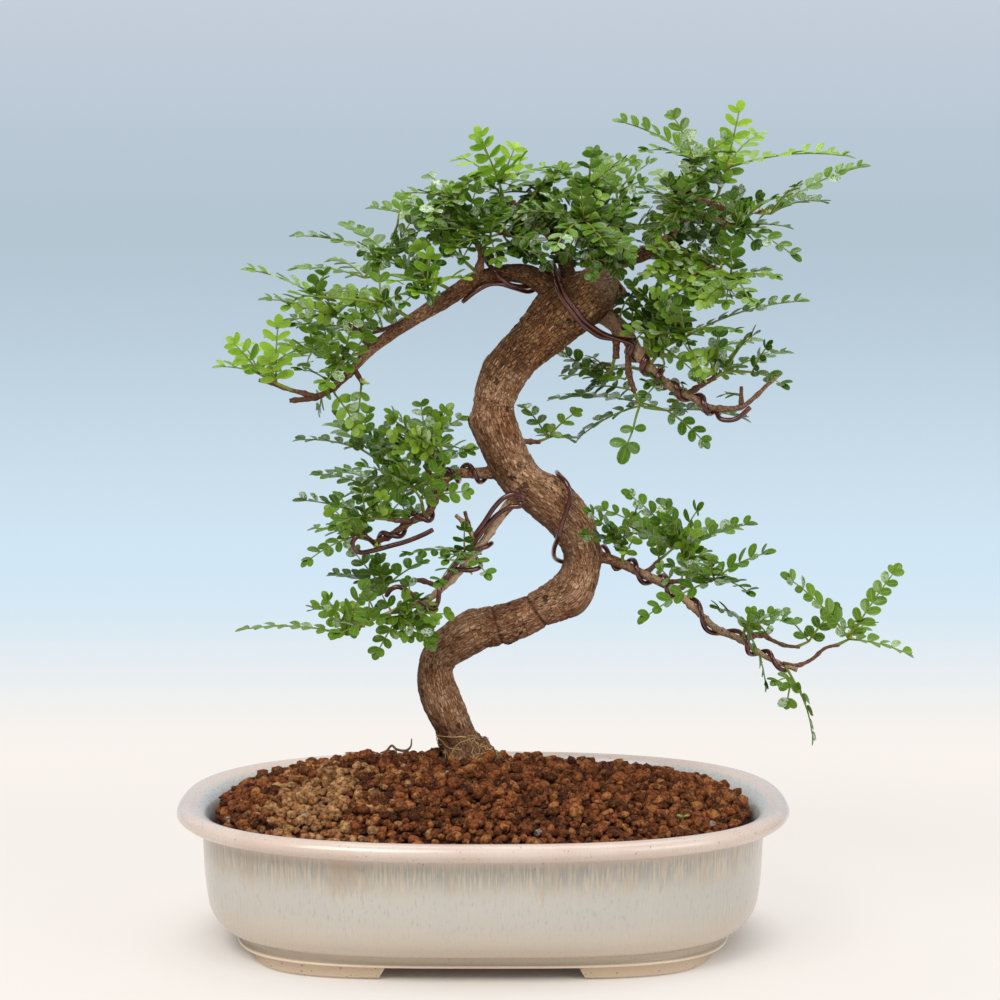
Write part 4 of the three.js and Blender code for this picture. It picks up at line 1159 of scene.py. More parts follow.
def shape_bark(points, middles, straight, radius):
    """How far each point of the bark goes in or out, in millimetres."""
    push = np.zeros(len(points))
    for index, (x, y, run) in enumerate(straight):
        stretch = Vector((x * 0.16, y * 0.16, run * 0.045))
        folds = noise.noise(stretch) + 0.5 * noise.noise(stretch * 2.3)
        fine = noise.noise(Vector((x * 0.5, y * 0.5, run * 0.24)))
        flake = noise.noise(Vector((x * 0.8, y * 0.8, run * 0.5 + 31)))
        push[index] = 0.62 * folds + 0.42 * fine + 0.34 * flake
    rugged = 1 + 0.5 * np.clip((points[:, 2] - 300) / 26, 0, 1)
    push *= np.clip(radius / 9, 0.12, 1.25) * rugged
    for middle, (_, _, _, reach, out) in zip(middles, KNOTS):
        away = np.linalg.norm(points - middle, axis=1) / reach
        ring = np.exp(-(away / 0.9)**2) - 0.55 * np.exp(-(away / 0.42)**2)
        push += out * ring
    return push


def wire_mark_share(points):
    """1 in the middle of an old wire mark, falling to 0 beside it."""
    share = np.zeros(len(points))
    for (x0, z0), (x1, z1) in WIRE_MARKS:
        across = unit(np.array([z1 - z0, x0 - x1], float))
        flat = points[:, [0, 2]] - np.array([x0, z0])
        off = flat @ across
        along = flat @ unit(np.array([x1 - x0, z1 - z0], float))
        near = (along > -7) & (along < math.dist((x0, z0), (x1, z1)) + 7)
        share = np.maximum(share, np.exp(-(off / 0.8)**2) * near)
    return share


marks = wire_mark_share(skin_points)
skin_normals = normals_of(wood_mesh)
knots = knot_places(skin_points, skin_normals)
push = shape_bark(skin_points, knots, bark_place, limb_radius) - 0.7 * marks
skin_points = skin_points + push[:, None] * skin_normals
wood_mesh.vertices.foreach_set("co", (skin_points * MM + np.array([POT_X, 0, 0])).ravel())
wood_mesh.update()
print("bark pushed between", round(float(push.min()), 2), "and", round(float(push.max()), 2), "mm")

# %% [markdown]
# Bark on this tree is a thin tan-brown skin with pale pores in short rows, rubbed darker along
# the old wire marks, and higher up, where the trunk was bent hard, it has split into corky
# golden ridges. Twigs are younger: darker, smoother and a little glossy. The side of the wood
# turned from the key light is painted darker, as shade.

# %% Bark
BARK_TONES = [
    (0.27, (62, 34, 17)), (0.39, (104, 67, 40)), (0.50, (138, 98, 66)), (0.60, (168, 130, 97)),
    (0.73, (212, 178, 148)),
]
CORK_TONES = [
    (0.30, (36, 18, 8)), (0.41, (78, 47, 24)), (0.51, (110, 72, 40)), (0.61, (144, 103, 64)),
    (0.74, (198, 156, 110)),
]
BARK_SHADE = (0.36, 0.27, 0.21, 1)
KNOT_DARK = srgb(50, 28, 16)
KNOT_RIM = srgb(176, 132, 90)
BARK_PALE = srgb(214, 184, 148)
BARK_WARM = srgb(232, 176, 122)
TWIG_BROWN = srgb(98, 62, 46)
MOSS_GREEN = srgb(96, 104, 48)
WIRE_MARK = srgb(88, 44, 26)


def tone_ramp(value, tones):
    """A value turned into a colour through a row of (value, colour) stops."""
    made = value.tree.nodes.new("ShaderNodeValToRGB")
    stops = made.color_ramp.elements
    for _ in tones[2:]:
        stops.new(0.5)
    for stop, (where, colour) in zip(stops, tones):
        stop.position = where
        stop.color = srgb(*colour)
    connect(made.inputs[0], value)
    return Output(value.tree, made.outputs[0])


def build_bark():
    material, tree, shader = new_finish("bark")
    straight = add_node(tree, "Attribute", {}, output="Vector", attribute_name="bark")
    tone = mottled(stretched(straight, 1, 1, 0.6), 64.0, 1.8)
    patch = mottled(straight, 190.0, 1.6)
    grain = cloud(stretched(straight, 1, 1, 0.74), 700.0, 5.0, 0.66)
    flecks = cloud(stretched(straight, 1, 1, 0.7), 1500.0, 3.0, 0.6)
    mixed = grain * 0.38 + flecks * 0.62
    mixed = mixed + tone * 0.15
    mixed = mixed + patch * 0.12
    value = (mixed - 0.625) * 1.7 + 0.5
    corky = rise(stored(tree, "corky"), 0.1, 0.9)
    colour = blend(corky, tone_ramp(value, BARK_TONES), tone_ramp(value, CORK_TONES))
    warm = rise(cloud(straight, 58.0, 4.0, 0.6), 0.5, 0.68)
    colour = blend(warm * 0.4, colour, BARK_WARM, "MULTIPLY")
    pores = dotted(stretched(straight, 1, 1, 0.6), 430.0, 0.22, 0.14)
    colour = blend(pores * 0.7, colour, KNOT_DARK)
    lenticels = dotted(stretched(straight, 1, 1, 0.55), 560.0, 0.24, 0.34)
    colour = blend(lenticels * 0.62, colour, BARK_PALE)
    pale = stored(tree, "pale") * rise(value, 0.25, 0.5)
    colour = blend(pale * 0.85, colour, BARK_PALE)
    colour = blend(stored(tree, "twig"), colour, TWIG_BROWN)
    broken = 0.45 + cloud(straight, 520.0, 3.0, 0.6) * 1.1
    knot = stored(tree, "knot") * broken
    rim = rise(knot, 0.22, 0.45) * rise(knot, 0.72, 0.55)
    colour = blend(rim * 0.3, colour, KNOT_RIM)
    crack = rise(knot, 0.14, 0.24) * rise(knot, 0.38, 0.27)
    crack = crack * rise(grain, 0.62, 0.46)
    heart = larger(rise(knot, 0.62, 0.78), crack)
    colour = blend(heart * 0.9, colour, KNOT_DARK)
    colour = blend(stored(tree, "mark") * 0.85, colour, WIRE_MARK)
    moss = stored(tree, "moss") * rise(tone, 0.35, 0.65)
    colour = blend(moss, colour, MOSS_GREEN)
    # Where the shade value is high the bark is darker: painted shade on the side turned from the light;
    # towards the foot and on the DIM_LIMBS boughs it is simply darker.
    colour = blend(stored(tree, "shade"), colour, BARK_SHADE, "MULTIPLY")
    fine = grit_of(stretched(straight, 1, 1, 0.5), 900.0, 0.3)
    height = mixed * (corky * 0.8 + 1.0)
    height = height + fine * 0.3
    height = height - pores * 0.2
    rough = 0.62 + tone * 0.22
    set_shader(shader, Base_Color=colour, Roughness=rough, Normal=relief(height, 1.25),
               Specular_IOR_Level=0.3)
    return material


LIT_FROM = unit(np.array([0.75, -0.35, 0.55]))
PALE_LIMBS = ("low_left", "low_left_stub")
DIM_LIMBS = ("upper_left", "upper_left_fork", "left_spur", "left_spur_side", "left_thin_twig", "left_stub")


def mark_bark(mesh, straight, radius, number, mark_share):
    """Keeps on the mesh what the bark finish reads."""
    vectors = mesh.attributes.new("bark", "FLOAT_VECTOR", "POINT")
    vectors.data.foreach_set("vector", (straight * MM).astype(np.float32).ravel())
    places = points_of(mesh)
    high = np.clip((places[:, 2] - 296) / 26, 0, 1) * np.clip((radius - 3) / 3, 0, 1)
    store_value(mesh, "corky", high)
    names = np.array(list(limbs))
    pale = np.isin(names[number], PALE_LIMBS) & (places[:, 0] < 12)
    tan = (names[number] == "low_right") * np.clip((places[:, 0] - 70) / 40, 0, 0.75)
    tan = np.maximum(tan, 0.4 * (names[number] == "mid_right"))
    stump = np.linalg.norm(places - seen(68, 359, 3), axis=1)
    store_value(mesh, "pale", np.maximum(np.maximum(pale * 0.9, tan), np.clip(1.6 - stump / 12, 0, 0.85)))
    store_value(mesh, "twig", np.where(pale, 0, np.clip((2.6 - radius) / 1.4, 0, 0.6)) * (1 - tan))
    store_value(mesh, "mark", mark_share)
    store_value(mesh, "knot", knot_nearness(places, knots))
    # Painted shade: the side turned from the key light LIT_FROM is darker, less so high up. Below 124 mm it
    # also darkens towards the foot, and the DIM_LIMBS boughs are darker by half; all of it is kept as shade.
    painted_shade_and_dark_foot = np.clip(0.42 - 0.62 * (normals_of(mesh) @ LIT_FROM), 0, 1)
    painted_shade_and_dark_foot = painted_shade_and_dark_foot * np.clip((330 - places[:, 2]) / 60, 0.45, 1)
    painted_shade_and_dark_foot = painted_shade_and_dark_foot + 0.5 * np.clip((124 - places[:, 2]) / 16, 0, 1)
    dim = np.isin(names[number], DIM_LIMBS) * 0.5
    store_value(mesh, "shade", np.clip(np.maximum(painted_shade_and_dark_foot, dim), 0, 1))
    base = np.clip((106 - places[:, 2]) / 14, 0, 1) * np.clip((places[:, 0] + 16) / 14, 0, 1)
    store_value(mesh, "moss", base * 0.5)


bark = build_bark()
mark_bark(wood_mesh, bark_place, limb_radius, limb_number, marks)
piece("trunk_and_boughs", wood_mesh, bark, ["wood"])

# %% [markdown]
# Twigs are bars again, but a living twig is never even: it thickens at each bud, where a leaf
# scar was. So the radius gets a small swelling every few millimetres.

# %% Twigs
TWIG_SIDES = 10


def build_twigs():
    heap = Heap()
    for order, (name, (line, radii)) in enumerate(limbs.items()):
        thin = np.flatnonzero(radii < STOUT + 0.3)
        if name in ROOTS or name == "trunk" or len(thin) < 3:
            continue
        start = max(thin[0] - 2, 0)
        line, radii = line[start:], radii[start:].copy()
        run = np.arange(len(line))
        swell = np.maximum(np.sin(run * 0.75 + order), 0)**4
        radii = radii * (0.94 + 0.34 * swell + 0.07 * np.sin(run * 2.3 + order))
        if start > 0:
            radii[:3] *= (0.7, 0.9, 1.0)
        heap.add(*bar(line, radii, TWIG_SIDES))
    mesh = heap.mesh("twigs")
    straight, radius, number = straighten(points_of(mesh))
    mark_bark(mesh, straight, np.minimum(radius, 2.4), number, np.zeros(len(radius)))
    return mesh


piece("twigs", build_twigs(), bark)

# %% [markdown]
# Training wire is soft aluminium, 2.7 millimetres thick here, anodised a dark copper brown. It is
# wound on the slant round a branch, and the branch is then bent with it. A coil is a helix
# about the branch's own line, so it follows every bend; the loose stretches between branches
# are drawn points. A round section of twelve sides is enough at this size.

# %% Wire routes
WIRE_RADIUS = 1.36
WIRE_SIDES = 12
WIRE_STEP = 1.4
OFF_BARK = 0.25
CUT_END = 0.86
COIL_STEPS = 26


def wound(bough_name, start, end, turns, start_turn):
    """Points of a coil along a branch, from one share of its rows to another."""
    rows = bough_rows[bough_name]
    steps = int(turns * COIL_STEPS)
    shares = np.linspace(start, end, steps + 1)
    line = smooth_at(rows, shares * (len(rows) - 1))
    middle, radii = line[:, :3], line[:, 3]
    tangents = np.gradient(middle, axis=0)
    tangents /= np.linalg.norm(tangents, axis=1)[:, None]
    downs = np.cross([0.0, 1.0, 0.0], tangents)
    downs /= np.linalg.norm(downs, axis=1)[:, None]
    behinds = np.cross(tangents, downs)
    turn = 2 * math.pi * (start_turn + turns * np.linspace(0, 1, steps + 1))[:, None]
    off = (radii + WIRE_RADIUS + OFF_BARK)[:, None]
    return middle + off * (np.cos(turn) * downs + np.sin(turn) * behinds)


def loose(*rows):
    return [seen(*row) for row in rows]


WIRE_ROUTES = {
    "wire_crown": [[
        *loose((1, 370, -1), (2.6, 367.4, -8), (6.6, 363, -12), (10.3, 358.9, -12.6), (14, 356, -11)),
        *loose((21, 354.6, -6), (28, 356, 3), (33, 362, 6), (35.4, 366.4, 0), (37, 363.6, -9)),
        *loose((38.6, 358.9, -14), (41, 352.3, -16.4), (43.8, 346.7, -17), (48, 341.2, -16.6)),
        *loose((52.6, 335.6, -15.4), (58, 331.2, -13), (64, 327.6, -9)),
        *wound("mid_right", 0.14, 0.62, 4.5, 0.72),
        *loose((129, 283.5, -22), (137, 283.5, -24), (145, 290, -26)),
    ], [
        *loose((-11, 346.5, -8), (-4.4, 352, -12.6), (3, 356, -13.4), (9, 356.4, -12.4), (17, 354, -8)),
        *loose((26, 352, 4), (33, 358, 9), (37, 366, 4), (38.8, 364.6, -8), (40.7, 360, -14)),
        *loose((43.2, 353.4, -16.6), (46, 347.9, -17.2), (50.2, 342.5, -16.8), (54.6, 337, -15.6)),
        *loose((59.8, 332.8, -13.2), (66, 329, -9.4)),
        *wound("mid_right", 0.155, 0.60, 4.25, 0.74),
    ]],
    "wire_mid_left": [[
        *loose((-27.2, 223.2, -21), (-32, 220.7, -22), (-41.8, 216.8, -24), (-50.5, 214.4, -25)),
        *loose((-61, 211.6, -25.6), (-67, 210.8, -26), (-70.6, 213, -26.4), (-71, 216.6, -26.4)),
        *loose((-68.4, 219.6, -26), (-64.4, 219.6, -25)),
        *wound("mid_left", 0.97, 0.05, 5.25, 0.1),
    ]],
    "wire_low_left": [[
        *loose((20.6, 238.4, -18), (20.2, 236, -17.6), (15.4, 235.6, -16.6), (9.6, 232.6, -14.8)),
        *loose((3.8, 227.4, -14), (-1.6, 220.4, -14.4), (-5.6, 214, -13), (-5, 208.6, -8)),
        *loose((-1.4, 204, -8), (-2.4, 202, -14), (-7.8, 200.8, -17.4), (-15.6, 201.3, -18.6)),
        *loose((-19.5, 197.4, -19.4), (-22.4, 194.6, -20.6), (-24, 189.1, -22.6), (-24.8, 183.3, -23.6)),
        *loose((-27.2, 179.8, -24.4), (-30.4, 181.3, -25), (-36.9, 186.2, -25.6), (-42.7, 190.6, -26.2)),
        *loose((-46.7, 192, -27), (-50.5, 190.4, -26), (-52.9, 186.8, -24)),
    ]],
    "wire_low_left_second": [[
        *loose((20.6, 238.4, -18.2), (22, 240.6, -18.2), (17, 242.6, -18.4), (11.5, 240.6, -18)),
        *loose((6.2, 235.4, -16.6), (0.6, 227, -15.4), (-4.6, 219.6, -13.6), (-6, 215.4, -8)),
        *loose((0.6, 213, -5), (4.6, 215.4, -9.6), (1.6, 213.8, -14.6), (-4, 211.6, -16.8)),
        *loose((-10.8, 207.6, -18), (-17.1, 201.6, -19), (-19.4, 196.4, -16.6)),
    ]],
    "wire_low_right": [[
        *loose((40, 254, 4), (41.5, 252.4, -6), (45.6, 248, -12.4), (47.6, 242, -14)),
        *loose((46, 235, -14.2), (43.5, 228, -14), (41, 219, -12), (38.6, 212, -3)),
        *loose((40, 206, 10), (49, 204, 19.5), (60, 208, 20), (66, 213, 10)),
        *wound("low_right", 0.2, 0.97, 5, 0.05),
    ]],
}


def build_wire(strands):
    """Round wires whose cut ends are a little narrower."""
    heap = Heap()
    for route in strands:
        length = np.linalg.norm(np.diff(route, axis=0), axis=1).sum()
        line = smooth_line(np.array(route), int(length / WIRE_STEP))
        radii = np.full(len(line), WIRE_RADIUS)
        radii[[0, -1]] *= CUT_END
        heap.add(*bar(line, radii, WIRE_SIDES))
    return heap.mesh("wire")


# %% [markdown]
# Anodising is a thin dyed oxide on bright metal. The tint sits in the base colour, about half of
# the body counts as metal, and a clear coat gives the narrow shine. Handling leaves rubbed patches
# and fine scratches; the rubbed patches are a pale pink painted into the colour, partly wear and
# partly a painted highlight.

# %% Anodised wire
def build_anodised():
    material, tree, shader = new_finish("anodised wire")
    place = own_place(tree)
    tone = mottled(place, 160.0, 1.8)
    colour = blend(tone, srgb(50, 19, 15), srgb(106, 48, 36))
    # Pale pink patches: partly rubbed wear, partly a painted highlight.
    rubbed_and_painted_highlight = rise(cloud(place, 900.0, 4.0, 0.7), 0.62, 0.72)
    colour = blend(rubbed_and_painted_highlight * 0.4, colour, srgb(178, 132, 122))
    rough = 0.2 + tone * 0.16
    scratches = relief(cloud(place, 1500.0, 3.0, 0.6), 0.04)
    set_shader(shader, Base_Color=colour, Roughness=rough, Normal=scratches, Metallic=0.45, Coat_Weight=0.8,
               Coat_Roughness=0.12)
    return material


anodised = build_anodised()
for node_name, strands in WIRE_ROUTES.items():
    piece(node_name + "_round", build_wire(strands), anodised, [node_name])

# %% [markdown]
# A leaf of this tree is a small feather: a thin rib with up to nine pairs of nearly round
# leaflets, each about nine millimetres long, and one more at the tip. Flat cards with a
# picture would look like paper from the side. So every leaflet is a real closed shape: two
# skins 0.3 millimetres apart, folded a little along its vein and bent down at the edge.

# %% One leaflet
LEAFLET_STATIONS = [(0.08, 0.40), (0.28, 0.82), (0.53, 1.0), (0.77, 0.90), (0.94, 0.50)]
LEAFLET_WIDE = 0.315
LEAFLET_THICK = 0.30
RIM_ANGLE = math.radians(105)


def leaflet_shape():
    """One leaflet of length 1 as rows of (along, across, side of the leaf), and its faces.

    The rim is shared by both skins, so the leaflet is one closed shape with a thin edge.
    """
    stations = len(LEAFLET_STATIONS)
    points = [(0.0, 0.0, 0.5), (1.0, 0.0, 0.5)]
    for s, w in LEAFLET_STATIONS:
        points += [(s, -LEAFLET_WIDE * w, 0.5), (s, LEAFLET_WIDE * w, 0.5), (s, 0.0, 0.0), (s, 0.0, 1.0)]
    left, right, top, low = ([2 + 4 * row + k for row in range(stations)] for k in range(4))
    faces = []
    for skin, turned in ((top, False), (low, True)):
        part = [(0, skin[0], left[0]), (0, right[0], skin[0])]
        for row in range(stations - 1):
            part += [(left[row], skin[row], skin[row + 1]), (left[row], skin[row + 1], left[row + 1])]
            part += [(skin[row], right[row], right[row + 1]), (skin[row], right[row + 1], skin[row + 1])]
        part += [(left[-1], skin[-1], 1), (skin[-1], right[-1], 1)]
        faces += [face[::-1] for face in part] if turned else part
    return np.array(points), np.array(faces)


LEAFLET_ROWS, LEAFLET_FACES = leaflet_shape()
print("a leaflet has", len(LEAFLET_FACES), "triangles")


def lay_leaflet(heap, base, along, normal, length, width, age, tone, wax=0.0):
    """Adds one leaflet that starts at base, points along and faces the normal."""
    across = np.cross(normal, along)
    s, w, side = LEAFLET_ROWS.T
    edge = np.abs(w) / LEAFLET_WIDE
    lift = (0.075 * edge - 0.07 * s**2) * length
    lift = lift + LEAFLET_THICK * (0.5 - side)
    points = base + (s * length)[:, None] * along + (w * length * width)[:, None] * across
    points = points + lift[:, None] * normal
    heap.add(points, triangles=LEAFLET_FACES, along=s, across=np.sign(w), age=age, tone=tone,
             under=side, stem=0.0, wax=wax)


# %% [markdown]
# A whole leaf, or frond, is laid on a slightly arched rib. Its leaflets stand in pairs that lean
# towards the tip, the middle ones longest. Small seeded differences in angle, size and twist
# keep the fronds from looking stamped.

# %% One frond
PAIR_STEP = 6.5
LEAFLET_LENGTH = 8.8
leaf_draw = np.random.default_rng(7)
LEAF_VALUES = ("along", "across", "age", "tone", "under", "stem", "wax")
GLINT_SHARE = 0.30


def frond_frame(base, tip, face):
    """The frond's own directions: along its rib, across, and up from its face.

    A hanging leaf that shows its edge to the viewer has a face below 0.
    """
    along = unit(tip - base)
    lean = math.radians(abs(face))
    normal = np.array([0.0, -math.sin(lean), math.cos(lean)])
    if face < 0:
        normal = np.array([math.cos(lean), -math.sin(lean), 0.0])
    normal = unit(normal - normal.dot(along) * along)
    return along, np.cross(normal, along), normal


def lay_stalk(heap, line, radii, age, sides=6, woody=0.0):
    """Adds a stalk: green where woody is 0, brown bark where it is 1."""
    heap.add(*bar(np.asarray(line), radii, sides), along=0.5, across=0.0, age=age, tone=woody,
             under=0.0, stem=1.0, wax=0.0)


def lay_frond(heap, base, tip, face, age, light=0.0):
    """Adds a leaf from base to tip whose upper side leans towards the viewer by face degrees.

    light is painted light and shade on its green: below 0 darker, as shade on a leaf far inside the tree,
    above 0 lighter, as light on one outside.
    """
    length = np.linalg.norm(tip - base)
    along, across, normal = frond_frame(base, tip, face)
    arch = 0.07 * length
    size = LEAFLET_LENGTH * min(1.0, 0.62 + length / 120) * leaf_draw.uniform(0.92, 1.06)
    end_size = 0.9 * size
    stalk = max(3.0, 0.10 * length)
    spacing = PAIR_STEP * (1 + 0.9 * max(0.0, abs(along[1]) - 0.4))
    pairs = int(np.clip(round((length - end_size - stalk) / spacing) + 1, 2, 9))
    step = (length - end_size - stalk) / max(pairs - 1, 1)
    twist = leaf_draw.uniform(-0.16, 0.16)
    vee = leaf_draw.uniform(-0.1, 0.4)
    # The tone is random, plus light, the painted light and shade of this leaf.
    tone = leaf_draw.random() + light

    def place(s):
        share = s / length
        return base + along * s + normal * (arch * 4 * share * (1 - share)) + across * (
            0.03 * length * math.sin(math.pi * share) * twist * 4)

    stations = np.linspace(0, length - end_size * 0.9, 4 + pairs // 2)
    rib = [place(s) for s in stations]
    lay_stalk(heap, rib, np.linspace(0.62, 0.36, len(rib)), age, 4)
    for pair in range(pairs):
        s = min(stalk + pair * step, length - end_size)
        share = (pair + 1) / (pairs + 1)
        grown = size * (0.72 + 0.30 * math.sin(math.pi * min(share + 0.12, 1.0)))
        for side in (-1, 1):
            if leaf_draw.random() < 0.02:
                continue
            sweep = math.radians(leaf_draw.uniform(26, 42) + 12 * share - (14 if age > 0.8 else 0))
            tilt = vee + leaf_draw.uniform(-0.22, 0.22)
            way = unit(along * math.sin(sweep) + across * side * math.cos(sweep) + normal * tilt)
            facing = unit(normal + across * side * leaf_draw.uniform(-0.35, 0.4)
                          + along * leaf_draw.uniform(-0.28, 0.28))
            facing = unit(facing - facing.dot(way) * way)
            leaf_length = grown * leaf_draw.uniform(0.9, 1.08)
            leaf_tone = float(np.clip(tone + leaf_draw.uniform(-0.25, 0.25), 0, 1))
            # Some leaflets get a painted reflection, whitish patches of reflected sky, and a thicker coat;
            # more of them where the painted light is higher.
            chance = GLINT_SHARE * (1 - age) * float(np.clip(0.62 + 1.2 * light, 0.3, 1.2))
            wax = float(leaf_draw.random() < chance) * leaf_draw.uniform(0.4, 1.0)
            width = leaf_draw.uniform(0.92, 1.18)
            if age > 0.8:
                leaf_length *= 1.25
                width *= 0.72
            lay_leaflet(heap, place(s), way, facing, leaf_length, width, age, leaf_tone, wax)
    way = unit(place(length) - place(length - end_size))
    lay_leaflet(heap, place(length - end_size), way, unit(normal - normal.dot(way) * way), end_size,
                1.1, age, float(np.clip(tone, 0, 1)))


def lay_stem(heap, points, age):
    line = smooth_line(np.array(points), max(5, 3 * len(points)))
    lay_stalk(heap, line, np.linspace(1.05, 0.62, len(line)), age, 7)


print("fronds carry up to 9 pairs of leaflets, one every", PAIR_STEP, "mm")

# %% [markdown]
# The model holds the main leaves of each shoot. Each shoot here keeps them, base and tip, and
# adds the leaves behind them. It is a stem and its fronds, and a frond is (stem row, x, z, depth,
# lean of its face); stem row -1 is the stem's end.

